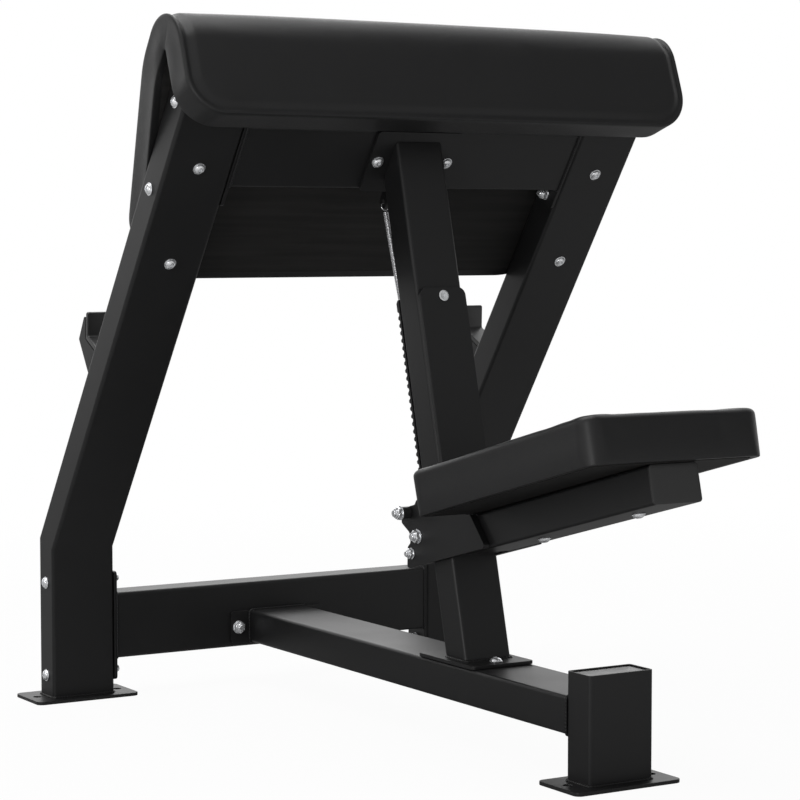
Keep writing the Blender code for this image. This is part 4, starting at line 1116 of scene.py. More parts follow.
@dataclass
class Beams:
    """The front and upper cross beams, the base beam and the rear post."""

    flange_length: float = 0.165
    flange_weld: float = 0.0020
    rear_post_height: float = 0.141
    post_rim: float = 0.0008
    post_weld: float = 0.0022
    cap_sink: float = 0.002
    cap_thickness: float = 0.010
    cap_corner: float = 0.002
    cap_dish: float = -0.0012
    cap_rim: float = 0.0045

    def build(self) -> None:
        """Make every beam with its flanges and welds."""
        middle = TUBE_NARROW / 2
        self.cross_beam("front_cross_beam", STAND.moved(y=middle, z=FRONT_BEAM_HEIGHT))
        self.cross_beam("upper_cross_beam", SLOPE.moved(y=middle, z=UPPER_BEAM_ALONG))
        self.base_beam()
        self.rear_post()

    def flange(self) -> Skin:
        """A flange plate from its bearing face down to -PLATE, its length along X."""
        return prism(rounded_rectangle(self.flange_length, TUBE_NARROW, PLATE_CORNER), -PLATE, 0)

    def tube_on(self, length: float) -> Skin:
        """A straight tube whose ends run a little into the flanges.

        Args:
            length: from one flange's outer face to the other's.

        Returns:
            The tube, down from its first flange.
        """
        overlap = 0.001
        cuts = [((0, 0, -PLATE + overlap), UP), ((0, 0, -length + PLATE - overlap), UP)]
        return box_tube(TUBE_WIDE, TUBE_NARROW, cuts, [UP])

    def cross_beam(self, node: str, at: Datum) -> None:
        """A beam between the legs: a tube and two flanges, and a weld round each joint.

        Args:
            node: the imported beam.
            at: its middle, the section's depth along Y.
        """
        across = LEG_PITCH - TUBE_WIDE - 2 * FIT
        left, right = (
            Datum(at.world((hand * across / 2, 0, 0)), np.array([UP, (0, 1, 0), (hand, 0, 0)]) @ at.axes)
            for _, hand in HANDS
        )
        flange = self.flange()
        skins = [self.tube_on(across).placed(right), flange.placed(right), flange.placed(left)]
        add_piece(f"{node}_steel", Skin.joined(skins), PAINT, node)
        for side, end in (("right", right), ("left", left)):
            face = end.moved(z=-PLATE).overturned()
            weld_bead(f"{node}_{side}_weld", tube_section(), face, self.flange_weld)

    def base_beam(self) -> None:
        """The beam from the front cross beam back to the rear post."""
        front = Datum(STAND.world((0, -FIT, BASE_BEAM_HEIGHT)), np.array([ALONG_X, -UP, (0, 1, 0)]))
        length = -FIT - (REAR_POST_DEPTH + TUBE_NARROW / 2 + FIT)
        steel = Skin.joined([self.tube_on(length + PLATE), self.flange()])
        add_piece("base_beam_steel", steel.placed(front), PAINT, "base_beam")
        face = front.moved(z=-PLATE).overturned()
        weld_bead("base_beam_front_weld", tube_section(), face, self.post_weld)
        weld_bead("base_beam_rear_weld", tube_section(), front.moved(z=-length), self.post_weld)

    def rear_post(self) -> None:
        """The short post, its weld to the foot, and its sunken moulded cap."""
        at = STAND.moved(y=REAR_POST_DEPTH)
        cuts = [((0, 0, FIT), UP), ((0, 0, self.rear_post_height), UP)]
        post = box_tube(TUBE_WIDE, TUBE_NARROW, cuts, [UP]).placed(at)
        add_piece("rear_post_tube", post, PAINT, "rear_post", rim=self.post_rim)
        weld_bead("rear_post_foot_weld", tube_section(), at.moved(z=FIT), self.post_weld)
        wide, deep = TUBE_WIDE - 2 * TUBE_WALL - 2 * FIT, TUBE_NARROW - 2 * TUBE_WALL - 2 * FIT
        top = at.moved(z=self.rear_post_height - self.cap_sink)
        cap = moulded_cap(
            wide, deep, self.cap_corner, self.cap_thickness, self.cap_dish, self.cap_rim
        ).placed(top)
        add_piece("rear_post_cap_moulded", cap, CAP_PLASTIC, "rear_post_cap")


def moulded_cap(wide: float, deep: float, corner: float, thick: float, dish: float, rim: float) -> Skin:
    """A moulded end cap: a rounded slab whose face is dished or domed inside its rim.

    Inside the rim the face sinks or rises by dish times the smooth share of the way in.

    Args:
        wide: its width.
        deep: its depth.
        corner: its corners' radius.
        thick: how far it goes down from its face at height 0.
        dish: the height of its middle over its rim.
        rim: the rim's width.

    Returns:
        The closed skin, its face upwards.
    """
    ring = rounded_rectangle(wide, deep, corner)
    step = outward(ring)
    edge, ridge = 0.0007, 0.001
    levels = [(0.0, -thick), (0.0, -edge), (0.3 * edge, -0.3 * edge), (edge, 0.0)]
    rows = [np.concatenate([ring - d * step, np.full((len(ring), 1), z)], 1) for d, z in levels]
    for share in np.linspace(0, 1, 7):
        reach = rim + share * (min(wide, deep) / 2 - rim - ridge)
        shrunk = ring * (1 - 2 * reach / np.array((wide, deep)))
        height = dish * share * share * (3 - 2 * share)
        rows.append(np.concatenate([shrunk, np.full((len(ring), 1), height)], 1))
    return Skin.grid(np.stack(rows))


@dataclass
class SeatColumn:
    """The leaning column with its plates, the wear plate behind it and the rack in front."""

    wide: float = 0.075
    narrow: float = 0.050
    tube_rim: float = 0.0006
    weld: float = 0.0024
    foot_length: float = 0.140
    foot_behind: float = 0.036
    head_wide: float = 0.140
    head_tall: float = 0.100
    wear_thickness: float = 0.008
    wear_top: float = 0.526
    wear_bottom: float = 0.150
    wear_corner: float = 0.012
    wear_bottom_corner: float = 0.002
    wear_rim: float = 0.0008
    screw: BoltSize = BoltSize(
        shank=0.003, head=0.0078, head_height=0.0009, socket=0.0022, socket_depth=0.0012
    )
    screw_length: float = 0.018
    screw_below_top: float = 0.0125
    rack_base: float = 0.0035
    tooth_depth: float = 0.0035
    tooth_pitch: float = 0.0108
    tooth_flat: float = 0.003
    lock_height: float = 0.188
    teeth_above: int = 29
    teeth_below: int = 2
    tooth_rim: float = 0.0003
    rack_lead: float = 0.020
    rack_chamfer: float = 0.004

    def build(self) -> None:
        """Make the column and everything fixed to it."""
        foot_top = STAND.moved(y=COLUMN_DEPTH, z=BASE_BEAM_TOP + 2 * FIT + PLATE)
        head_face = SLOPE.moved(y=-PLATE - 2 * FIT, z=UPPER_BEAM_ALONG)
        cuts = [
            (COLUMN.axes @ (face.origin - COLUMN.origin), COLUMN.axes @ normal)
            for face, normal in ((foot_top, UP), (head_face, SLOPE.axes[1]))
        ]
        skin = box_tube(self.wide, self.narrow, cuts, [UP], (0, self.narrow / 2)).placed(COLUMN)
        add_piece("seat_column_tube", skin, PAINT, "seat_column", rim=self.tube_rim)
        self.plates()
        self.wear_plate()
        self.rack()

    def plates(self) -> None:
        """The plates on the base beam and on the upper beam, and the weld at the column's foot."""
        middle = COLUMN_DEPTH - self.foot_behind + self.foot_length / 2
        lean = math.cos(math.radians(COLUMN_LEAN))
        base = rounded_rectangle(self.wide, self.narrow / lean, TUBE_CORNER) + (0, self.narrow / 2 / lean)
        foot_top = STAND.moved(y=COLUMN_DEPTH, z=BASE_BEAM_TOP + FIT + PLATE)
        for name, wide, tall, at in (
            ("foot", TUBE_WIDE, self.foot_length, STAND.moved(y=middle, z=BASE_BEAM_TOP + FIT)),
            ("head", self.head_wide, self.head_tall, SLOPE.moved(y=-FIT, z=UPPER_BEAM_ALONG).rearward()),
        ):
            plate = prism(rounded_rectangle(wide, tall, PLATE_CORNER), 0, PLATE).placed(at)
            node = f"column_{name}_plate"
            add_piece(f"{node}_pressed", plate, PAINT, node)
        weld_bead("column_foot_weld", base, foot_top, self.weld)

    def wear_plate(self) -> None:
        """The plate that the roller runs on, with round upper corners, and its flat-headed screw."""
        half, low, high = self.wide / 2, self.wear_bottom, self.wear_top
        corners = [(-half, low), (half, low), (half, high), (-half, high)]
        radii = [self.wear_bottom_corner] * 2 + [self.wear_corner] * 2
        plate = prism(filleted(corners, radii, 8), 0, self.wear_thickness, self.wear_rim)
        rear = COLUMN.moved(y=-FIT).rearward()
        add_piece("wear_plate_planed", plate.placed(rear), PAINT, "wear_plate")
        spot = rear.moved(y=self.wear_top - self.screw_below_top, z=self.wear_thickness + 2 * FIT)
        Bolt("wear_plate_screw", spot, self.screw_length, self.screw, nut=False).build()

    def rack(self) -> None:
        """The toothed bar: notches every pitch, with a plain lead above them."""
        back = self.narrow + FIT
        root, tip = back + self.rack_base, back + self.rack_base + self.tooth_depth
        slant = (self.tooth_pitch - 2 * self.tooth_flat) / 2
        tooth = np.arange(-self.teeth_below, self.teeth_above)[:, None]
        middle = self.lock_height + (tooth + 0.5) * self.tooth_pitch
        offset = self.tooth_flat / 2 + np.array([-slant - self.tooth_flat, -self.tooth_flat, 0, slant])
        heights = (middle + offset).reshape(-1)
        depths = np.tile([root, tip, tip, root], len(tooth))
        bottom = self.lock_height - self.teeth_below * self.tooth_pitch
        top = self.lock_height + self.teeth_above * self.tooth_pitch
        end, chamfer = top + self.rack_lead, self.rack_chamfer
        first = [(back, bottom - self.tooth_flat), (root, bottom - self.tooth_flat)]
        last = [
            (root, top + self.tooth_flat / 2), (tip, top + self.tooth_flat / 2 + slant),
            (tip, end - chamfer), (tip - chamfer, end), (back, end),
        ]
        outline = np.concatenate([first, np.stack([depths, heights], 1), last])
        skin = sideways(prism(outline, -self.wide / 2, self.wide / 2, self.tooth_rim))
        add_piece("toothed_rack_milled", skin.placed(COLUMN), PAINT, "rack", sharp=25)


# The carriage


@dataclass
class Carriage:
    """The side plates that straddle the column, their bolts, the roller and the seat tube."""

    plate_inner: float = 0.0378
    plate_thickness: float = 0.010
    plate_corner: float = 0.005
    plate_rim: float = 0.0008
    lock: Pair = (0.0628, 0.040)
    tie: Pair = (0.085, 0.019)
    tie_shank: float = 0.004
    bush_radius: float = 0.0085
    bush_length: float = 0.013
    bush_bevel: float = 0.0008
    bore: float = 0.0053
    roller_radius: float = 0.012
    roller_round: float = 0.0009
    roller_side_gap: float = 0.0008
    axle: Pair = (-0.0206, 0.016)
    pin_radius: float = 0.005
    pin_chamfer: float = 0.0005
    pin_past: float = 0.0067
    tube_wide: float = 0.075
    tube_high: float = 0.050
    tube_start: float = 0.040
    tube_end: float = 0.465
    tube_rim: float = 0.0007
    cap_thickness: float = 0.003
    cap_rim: float = 0.006
    plug_end: float = 0.0115
    plug_corner: float = 0.002

    def build(self) -> None:
        """Make every piece of the carriage but the cushion."""
        self.side_plates()
        self.bolts()
        self.roller()
        self.seat_tube()

    def side_plates(self) -> None:
        """The two profile-cut plates, their corners rounded."""
        outline = filleted([
            (-0.102, 0), (0.1035, 0), (0.0945, 0.030), (0.0855, 0.0345), (0.0855, 0.049),
            (0.1025, 0.0645), (0.0995, 0.0845), (0.062, 0.0845), (0.056, 0.0905), (-0.062, 0.059),
            (-0.0665, 0.0498), (-0.0748, 0.0498),
        ], self.plate_corner)
        for side, hand in HANDS:
            low, high = sorted((hand * self.plate_inner, hand * self.plate_outer()))
            skin = sideways(prism(outline, low, high, self.plate_rim))
            add_piece(
                f"{side}_side_plate_cut", skin.placed(SEAT_LINE), PAINT, f"side_plate_{side}",
                Body.CARRIAGE, sharp=40,
            )

    def plate_outer(self) -> float:
        """How far from the middle the side plates' outer faces are."""
        return self.plate_inner + self.plate_thickness

    def bolts(self) -> None:
        """The guide, lock and tie bolts, and the bushes on the guide bolt."""
        outer, length = self.plate_outer(), self.bush_length
        rows = (
            ("guide_bolt", GUIDE_BOLT, outer + FIT + length, BoltSize()),
            ("lock_bolt", self.lock, outer, BoltSize()),
            ("tie_bolt", self.tie, outer, BoltSize().scaled(self.tie_shank)),
        )
        for node, (forward, height), half, size in rows:
            spot = SEAT_LINE.moved(half, forward, height).facing(ALONG_X)
            Bolt(node, spot, 2 * half, size, body=Body.CARRIAGE).build()
        radius, bevel = self.bush_radius, self.bush_bevel
        ring = [
            (self.bore, 0), (radius - bevel, 0), (radius, bevel),
            (radius, length - bevel), (radius - bevel, length), (self.bore, length),
        ]
        for side, hand in HANDS:
            spot = SEAT_LINE.moved(hand * (outer + FIT), *GUIDE_BOLT).facing((hand, 0, 0))
            add_piece(
                f"{side}_guide_bush_turned", turned(ring).placed(spot), NYLON, f"guide_bush_{side}",
                Body.CARRIAGE,
            )

    def roller(self) -> None:
        """The rear roller on its steel pin: its radius falls by the 14th power towards its ends."""
        half = self.plate_inner - self.roller_side_gap
        across = np.linspace(-1, 1, 25)
        radius = self.roller_radius - self.roller_round * np.abs(across) ** 14
        profile = [(self.bore, -half), *zip(radius, half * across), (self.bore, half)]
        spot = SEAT_LINE.moved(0, *self.axle).facing(ALONG_X)
        roller = turned(profile).placed(spot)
        add_piece("rear_roller_turned", roller, NYLON, "rear_roller", Body.ROLLER)
        reach, thick, chamfer = self.plate_inner + self.pin_past, self.pin_radius, self.pin_chamfer
        pin = turned([
            (0, -reach), (thick - chamfer, -reach), (thick, chamfer - reach),
            (thick, reach - chamfer), (thick - chamfer, reach), (0, reach),
        ])
        add_piece("roller_axle_turned", pin.placed(spot), ZINC, "roller_axle", Body.SLIDER)

    def seat_tube(self) -> None:
        """The tube under the seat, and its moulded cap with a plug inside the tube."""
        wide, high, overlap = self.tube_wide, self.tube_high, 0.0005
        start = SEAT_LINE.moved(y=-self.tube_start, z=high / 2).rearward()
        length = self.tube_end - self.tube_start
        tube = box_tube(wide, high, [((0, 0, 0), UP), ((0, 0, length), UP)], [UP]).placed(start)
        add_piece("seat_tube_steel", tube, PAINT, "seat_tube", Body.CARRIAGE, rim=self.tube_rim)
        face = start.moved(z=length + FIT + self.cap_thickness)
        clear = 2 * (TUBE_WALL + FIT)
        lip = moulded_cap(wide, high, TUBE_CORNER, self.cap_thickness, 0.0, self.cap_rim)
        bung = rounded_rectangle(wide - clear, high - clear, self.plug_corner)
        plug = prism(bung, -self.plug_end, -self.cap_thickness + overlap)
        cap = Skin.joined([lip, plug]).placed(face)
        add_piece("seat_tube_cap_moulded", cap, CAP_PLASTIC, "seat_tube_cap", Body.CARRIAGE)


# Bar catches and return spring


@dataclass
class BarCatches:
    """The folded bar catches on the legs, their plastic liners and bolts."""

    width: float = 0.034
    wall: float = 0.006
    along: float = 0.2318
    knee: Pair = (0.108, 0.044)
    lip: Pair = (0.112, 0.085)
    lip_thick: float = 0.0065
    shelf: Pair = (0.089, 0.058)
    shelf_root: float = 0.068
    lip_drop: float = 0.002
    corner: float = 0.003
    rim: float = 0.0008
    inner_rim: float = 0.0005
    liner: float = 0.008
    liner_proud: float = 0.008
    liner_corner: float = 0.0035
    liner_rim: float = 0.0022
    bolt_up: float = 0.064
    bolt_shank: float = 0.004
    bolt_length: float = 0.018

    def outline(self) -> Points:
        """The bracket's side outline: out from the leg's front face, and up its slope.

        Returns:
            The corners: the foot, the knee, the lip's two, the shelf's corner and its root.
        """
        lip_out, lip_up = self.lip
        at_leg = np.array([
            (FIT, 0), self.knee, self.lip, (lip_out - self.lip_thick, lip_up - self.lip_drop),
            self.shelf, (FIT, self.shelf_root),
        ])
        return at_leg + (0, self.along)

    def build(self) -> None:
        """Make the bracket, liner and bolt on each leg."""
        p = self.outline()
        w, half = self.wall, self.width / 2
        hollow = np.array([
            (-w, self.along + 1.3 * w), (FIT + w, self.along + 1.5 * w), (p[1, 0] - 2.5 * w, p[1, 1]),
            (self.shelf[0] - w, p[4, 1] - w), (-w, p[5, 1] - w),
        ])
        for side, hand in HANDS:
            at = SLOPE.moved(x=hand * LEG_PITCH / 2, y=TUBE_NARROW)
            bracket, inside, liner = (
                sideways(prism(filleted(corners, radius), -reach, reach, rim)).placed(at)
                for corners, radius, reach, rim in (
                    (p, self.corner, half, self.rim),
                    (hollow, self.corner, half - w, self.inner_rim),
                    (self.liner_outline(p), self.liner_corner, half, self.liner_rim),
                )
            )
            add_piece(
                f"{side}_bar_catch_folded", bracket, PAINT, f"bar_catch_{side}",
                cutters=(inside,), sharp=40,
            )
            add_piece(f"{side}_catch_liner_moulded", liner, CAP_PLASTIC, f"catch_liner_{side}")
            outer = p[2] - p[1]
            share = (self.bolt_up - self.knee[1]) / (self.lip[1] - self.knee[1])
            head = p[1] + share * outer
            spot = at.moved(y=head[0], z=head[1]).facing((0, outer[1], -outer[0]))
            size = BoltSize().scaled(self.bolt_shank)
            Bolt(f"catch_bolt_{side}", spot, self.bolt_length, size, nut=False).build()

    def liner_outline(self, p: Points) -> Points:
        """The L-shaped liner: lines offset from the lip and the shelf, meeting at their crossings.

        Args:
            p: the bracket's outline.

        Returns:
            The liner's corners.
        """
        rise = (p[3] - p[4]) / np.linalg.norm(p[3] - p[4])
        run = (p[5] - p[4]) / np.linalg.norm(p[5] - p[4])
        lip_out = np.array((-rise[1], rise[0]))
        shelf_out = np.array((run[1], -run[0]))
        shelf_out = shelf_out if shelf_out[1] > 0 else -shelf_out
        thick = self.liner + FIT
        seat = self.meet(p[4] + lip_out * FIT, rise, p[4] + shelf_out * FIT, run)
        face = self.meet(p[4] + lip_out * thick, rise, p[4] + shelf_out * thick, run)
        top = rise * (np.linalg.norm(p[3] - p[4]) + self.liner_proud)
        root = p[4] + run * (np.linalg.norm(p[5] - p[4]) - FIT)
        return np.array([
            seat + top, face + top, face, root + shelf_out * thick, root + shelf_out * FIT, seat,
        ])

    @staticmethod
    def meet(a: Points, a_run: Points, b: Points, b_run: Points) -> Points:
        """Where two lines in a plane meet: a plus its direction times a ratio of cross products.

        Args:
            a: a point of the first line.
            a_run: its direction.
            b: a point of the second line.
            b_run: its direction.

        Returns:
            The crossing.
        """
        cross = a_run[0] * b_run[1] - a_run[1] * b_run[0]
        gap = b - a
        return a + a_run * ((gap[0] * b_run[1] - gap[1] * b_run[0]) / cross)


@dataclass
class ReturnSpring:
    """The closely wound return spring between the lug and the guide bolt."""

    radius: float = 0.0034
    wire: float = 0.0009
    hook: float = 0.0055
    hook_sweep: float = 320.0
    hook_points: int = 33
    neck: float = 0.003
    lug_out: float = 0.0270
    lug_drop: float = 0.0390
    lug_thickness: float = 0.003
    lug_half: float = 0.010
    lug_hole: float = 0.0035
    lug_rim: float = 0.0004
    beam_low: float = 0.652
    travel: float = 0.27
    lower_bore: float = 0.0053
    lay: float = 2.08
    lead: float = 0.0012
    turn_points: int = 14

    def build(self) -> None:
        """Make the lug and the spring."""
        hole = (self.lug_out, self.beam_low - self.lug_drop)
        round_end = [
            (hole[0] + self.lug_half * math.cos(a), hole[1] + self.lug_half * math.sin(a))
            for a in np.radians(np.linspace(180, 360, 17))
        ]
        top = self.beam_low - FIT
        outline = np.array([(hole[0] + self.lug_half, top), (hole[0] - self.lug_half, top), *round_end])
        half = self.lug_thickness / 2
        plate = sideways(prism(outline, -half, half, self.lug_rim)).placed(SLOPE)
        eye = SLOPE.moved(0, *hole).facing(ALONG_X)
        bore, past = self.lug_hole, 0.01
        drill = turned([(0, -past), (bore, -past), (bore, past), (0, past)]).placed(eye)
        add_piece("spring_lug_cut", plate, PAINT, "spring_lug", cutters=(drill,))

        bottom = SEAT_LINE.world((0, *GUIDE_BOLT))
        line = eye.origin - bottom
        bend = self.hook - math.sqrt(self.hook**2 - half**2)
        hung = self.lug_hole - self.wire - bend - FIT
        unit = line / np.linalg.norm(line)
        hook_centre = bottom + line - unit * (hung + self.hook)
        length = float(np.linalg.norm(hook_centre - bottom))
        datum = Datum(hook_centre, np.stack([ALONG_X, np.cross(unit, ALONG_X), unit]))
        coil, upper, lower, high, low = self.skins(length)
        piece = add_piece(
            "return_spring_wound", coil.placed(datum), SPRING_WIRE, "return_spring", sharp=80
        )
        for name, skin, body in (("upper", upper, Body.FRAME), ("lower", lower, Body.SLIDER)):
            add_piece(f"return_spring_{name}_hook", skin.placed(datum), SPRING_WIRE, body=body, sharp=80)
        rise = COLUMN.axes[2]
        keep = 1 - self.travel / float((high - low) * unit @ rise)
        anchor = tuple(hook_centre + high * unit)
        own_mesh(piece)

    def skins(self, length: float) -> tuple[Skin, Skin, Skin, float, float]:
        """The wire: a helix between two round hooks.

        The helix is (R cos t, R sin t, z) with z falling by just over a wire's thickness a turn;
        the section's two directions are the axis less its share along the wire, and their cross.

        Args:
            length: from the upper hook's centre to the lower one's.

        Returns:
            The closed skins of the helix, the upper hook and the lower hook, and the heights of
            the helix's two ends.
        """
        radius, lower = self.radius, self.lower_bore + self.wire
        high, low = -self.hook - self.neck, -length + lower + self.neck
        turns = int((high - low) / (self.lay * self.wire))
        t = np.linspace(0, 2 * math.pi * turns, self.turn_points * turns + 1)
        coil = self.wire_skin(around(radius, t, np.linspace(high, low, t.size)), UP)
        aside = np.array((0.0, 1.0, 0.0))
        hooks = []
        upper_path = self.hook_path(self.hook, 0.0, 180.0, 0)
        lower_path = self.hook_path(lower, -length, 40.0, 1)
        for height, lead, root, hook, side in (
            (high, self.lead, -self.hook, upper_path, aside),
            (low, -self.lead, -length + lower, lower_path, np.array(ALONG_X)),
        ):
            ends = np.array([(radius, 0, height), (0.5 * radius, 0, height + lead), (0, 0, root)])
            neck = self.wire_skin(self.smooth(ends), aside)
            hooks.append(Skin.joined([self.wire_skin(hook, side), neck]))
        return coil, *hooks, high, low

    @staticmethod
    def smooth(ends: Points) -> Points:
        """A curve from the first of three points to the last, pulled by the middle one.

        At share s the three count as (1 - s) squared, 2 s (1 - s) and s squared.

        Args:
            ends: the three points.

        Returns:
            Nine points of the curve.
        """
        s = np.linspace(0, 1, 9)[:, None]
        return (1 - s) ** 2 * ends[0] + 2 * s * (1 - s) * ends[1] + s**2 * ends[2]

    def hook_path(self, radius: float, middle: float, start: float, axis: int) -> Points:
        """A round hook about a level axis: the sine and cosine of its angle times its radius.

        Args:
            radius: from its middle to the wire's middle.
            middle: its middle's height.
            start: the angle in degrees, from the top, where its sweep starts.
            axis: 0 for a hook in the XZ plane, else it is in the YZ plane.

        Returns:
            The path's points.
        """
        a = np.radians(np.linspace(start, start + self.hook_sweep, self.hook_points))
        level = np.zeros(len(a))
        out, height = radius * np.sin(a), middle + radius * np.cos(a)
        return np.stack([out, level, height] if axis == 0 else [level, out, height], 1)

    def wire_skin(self, path: Points, aside: Points) -> Skin:
        """A round wire on a path; its side is the given direction less its share along the path.

        Args:
            path: the wire's middle line.
            aside: a direction off the path everywhere.

        Returns:
            The wire's closed skin.
        """
        along = np.gradient(path, axis=0)
        along /= np.linalg.norm(along, axis=1, keepdims=True)
        side = aside - along * (along @ aside)[:, None]
        side /= np.linalg.norm(side, axis=1, keepdims=True)
        angle = full_turn(8)
        section = self.wire * np.stack([np.cos(angle), np.sin(angle)], 1)
        return swept(path, section, side, np.cross(along, side), False)


# Cushions


TRACE_POINTS = 6000
SWELL_FRAMES = 20
COVER_CLOTH = {
    "quality": 5, "mass": 0.35, "tension_stiffness": 30, "compression_stiffness": 30,
    "shear_stiffness": 12, "bending_stiffness": 8, "use_pressure": True, "uniform_pressure_force": 4,
}


@dataclass
class Cushion:
    """A stuffed pad: a planform with rounded corners, a side wall, a rolled edge and a crown."""

    name: str
    node: str
    body: Body
    corners: list
    radii: list
    thickness: float
    rolled: tuple[Pair, ...]
    crown: float
    draw_in: float
    across: int
    along: int
    cap: float
    fill: float
    fold_at: Pair = (0.0, 0.0)
    stretch: float = 1.0
    under: float = 0.0016
    start: float = -0.0013
    recess: float = 0.0015
    held_height: float = 0.006
    sharp: float = 60.0
    ring_at: Points = field(init=False)
    outline: Points = field(init=False)
    normals: Points = field(init=False)

    def to_bench(self, flat: Points) -> Points:
        """Points of the flat cushion (across, along, height) in the bench's frame."""
        raise NotImplementedError

    def prepare(self) -> None:
        """Trace the planform finely and share its points out over the four sides of the grid.

        A side's points are even along a measure that counts lengths inside the fold as stretched,
        so that the outer face has even squares over the ridge.
        """
        closed, run = measured(anticlockwise(filleted(self.corners, self.radii, 40)))
        line = sampled(np.linspace(0, run[-1], TRACE_POINTS, endpoint=False), run, closed)
        patch = [self.corners[k] for k in (0, 1, -3, -2)] if len(self.corners) > 4 else self.corners
        first = int(np.argmin(np.linalg.norm(line - np.array(patch[0]), axis=1)))
        self.outline = np.roll(line, -first, 0)
        ends = [int(np.argmin(np.linalg.norm(self.outline - np.array(c), axis=1))) for c in patch]
        ends = [*ends, len(self.outline)]
        low, high = self.fold_at
        inside = (self.outline[:, 1] > low) & (self.outline[:, 1] < high)
        step = np.linalg.norm(np.roll(self.outline, -1, 0) - self.outline, axis=1)
        measure = np.concatenate([[0], np.cumsum(step * np.where(inside, self.stretch, 1.0))])
        spots = []
        for number, (a, b) in enumerate(zip(ends, ends[1:])):
            count = self.across if number % 2 == 0 else self.along
            level = np.linspace(measure[a], measure[b], count, endpoint=False)
            spots.append(np.interp(level, measure, np.arange(len(measure))))
        self.ring_at = np.concatenate(spots)
        self.normals = outward(self.outline)

    def ring(self, inset: float) -> Points:
        """The grid's rim drawn in by an inset: outline less inset times its outward step.

        Args:
            inset: how far it is drawn in.

        Returns:
            The rim's points, on the grid's share of the outline.
        """
        closed, _ = measured(self.outline - inset * self.normals)
        return sampled(self.ring_at, np.arange(len(closed)), closed)

    def patch(self, inset: float) -> Points:
        """A grid filling the planform: the side rims ruled across, and the bows of the end rims.

        A bow is an end rim less the straight line between its ends. It fades evenly with the
        way to the fold, so that the rows over the fold are straight.

        Args:
            inset: how far in its rim lies.

        Returns:
            The grid, shaped (along + 1, across + 1, 2).
        """
        m, n = self.across, self.along
        rim = np.concatenate([self.ring(inset), self.ring(inset)[:1]])
        near, right = rim[: m + 1], rim[m : m + n + 1]
        far, left = rim[m + n : 2 * m + n + 1][::-1], rim[2 * m + n :][::-1]
        u = np.linspace(0, 1, m + 1)[None, :, None]
        down = right[:, 1]
        low, high = self.fold_at if self.stretch > 1 else (down[-1], down[0])
        fade_near = np.clip((low - down) / (low - down[0]), 0, 1)[:, None, None]
        fade_far = np.clip((down - high) / (down[-1] - high), 0, 1)[:, None, None]
        bow_near = near[None] - (1 - u) * near[0] - u * near[-1]
        bow_far = far[None] - (1 - u) * far[0] - u * far[-1]
        ruled = (1 - u) * left[:, None] + u * right[:, None]
        return ruled + fade_near * bow_near + fade_far * bow_far

    def form(self) -> Skin:
        """The closed pad: an underside, a wall that turns over the rolled edge, and a crowned top.

        Over the edge the wall goes through the rolled pairs: an inset and a drop below the rim. The
        crown is its height times one less the fourth power of the way out, across and along.

        Returns:
            The skin, in the bench's frame.
        """
        top = self.thickness - self.start
        rim = top - self.crown
        shoulder = rim - 1.3 * self.rolled[0][1]
        base, curl = self.start, self.under
        wall = [
            (self.draw_in + base + curl, 0.0), (self.draw_in + base + 0.3 * curl, 0.3 * curl),
            (self.draw_in + base, curl), (0.55 * self.draw_in + base, 0.35 * shoulder),
            (0.2 * self.draw_in + base, 0.7 * shoulder), (base, shoulder),
        ]
        wall += [(base + inset, rim - drop) for inset, drop in self.rolled]
        rows = [np.concatenate([self.ring(d), np.full((len(self.ring_at), 1), z)], 1) for d, z in wall]
        upper = self.patch(wall[-1][0])
        u = np.abs(np.linspace(-1, 1, self.across + 1))[None, :]
        v = np.abs(np.linspace(-1, 1, self.along + 1))[:, None]
        lift = self.crown * (1 - u**4) * (1 - v**4)
        face = np.concatenate([upper, (rim + lift)[..., None]], -1)
        lower = self.patch(wall[0][0])
        shy = 0.5 * np.minimum(np.minimum(self.across * (1 - u) / 2, self.along * (1 - v) / 2), 4) / 2
        sunk = self.recess * np.clip(shy, 0, 1)
        floor = np.concatenate([lower, sunk[..., None]], -1)
        skin = Skin.joined([
            Skin.grid(np.stack(rows), caps=False), Skin.grid(face, wrap=False, caps=False),
            Skin.grid(floor, wrap=False, caps=False),
        ])
        return Skin(self.to_bench(skin.points), skin.faces)

    def swell(self, piece: bpy.types.Object) -> None:
        """Blow the cover up gently as cloth, held where it meets its board.

        The cloth's move d is kept below the cap as cap tanh(|d| / cap) along itself.

        Args:
            piece: the pad; its points are moved in place.
        """
        before = coordinates(piece.data)
        held = self.held(before)
        group = piece.vertex_groups.new(name="held")
        group.add(np.nonzero(held)[0].tolist(), 1.0, "REPLACE")
        cloth = piece.modifiers.new("cover", "CLOTH")
        for setting, value in COVER_CLOTH.items():
            setattr(cloth.settings, setting, value)
        cloth.settings.vertex_group_mass = group.name
        cloth.settings.effector_weights.gravity = 0
        cloth.point_cache.frame_start, cloth.point_cache.frame_end = 1, SWELL_FRAMES
        scene = bpy.context.scene
        for number in range(1, SWELL_FRAMES + 1):
            scene.frame_set(number)
        seen = piece.evaluated_get(bpy.context.evaluated_depsgraph_get())
        after = coordinates(seen.data)
        scene.frame_set(1)
        piece.modifiers.clear()
        piece.vertex_groups.clear()
        move = after - before
        size = np.maximum(np.linalg.norm(move, axis=1, keepdims=True), 1e-9)
        eased = before + move / size * self.cap * np.tanh(size / self.cap)
        piece.data.vertices.foreach_set("co", eased.astype(np.float32).ravel())
        piece.data.update()

    def held(self, points: Points) -> Points:
        """Which points the board holds still."""
        raise NotImplementedError

    def build(self) -> bpy.types.Object:
        """Returns:
            The finished pad.
        """
        self.prepare()
        piece = loose(self.name, self.form().mesh(self.name))
        self.swell(piece)
        smooth = piece.modifiers.new("smooth", "SUBSURF")
        smooth.levels = smooth.render_levels = 1
        dressed(piece, COVER, self.node, self.body, self.sharp)
        return piece


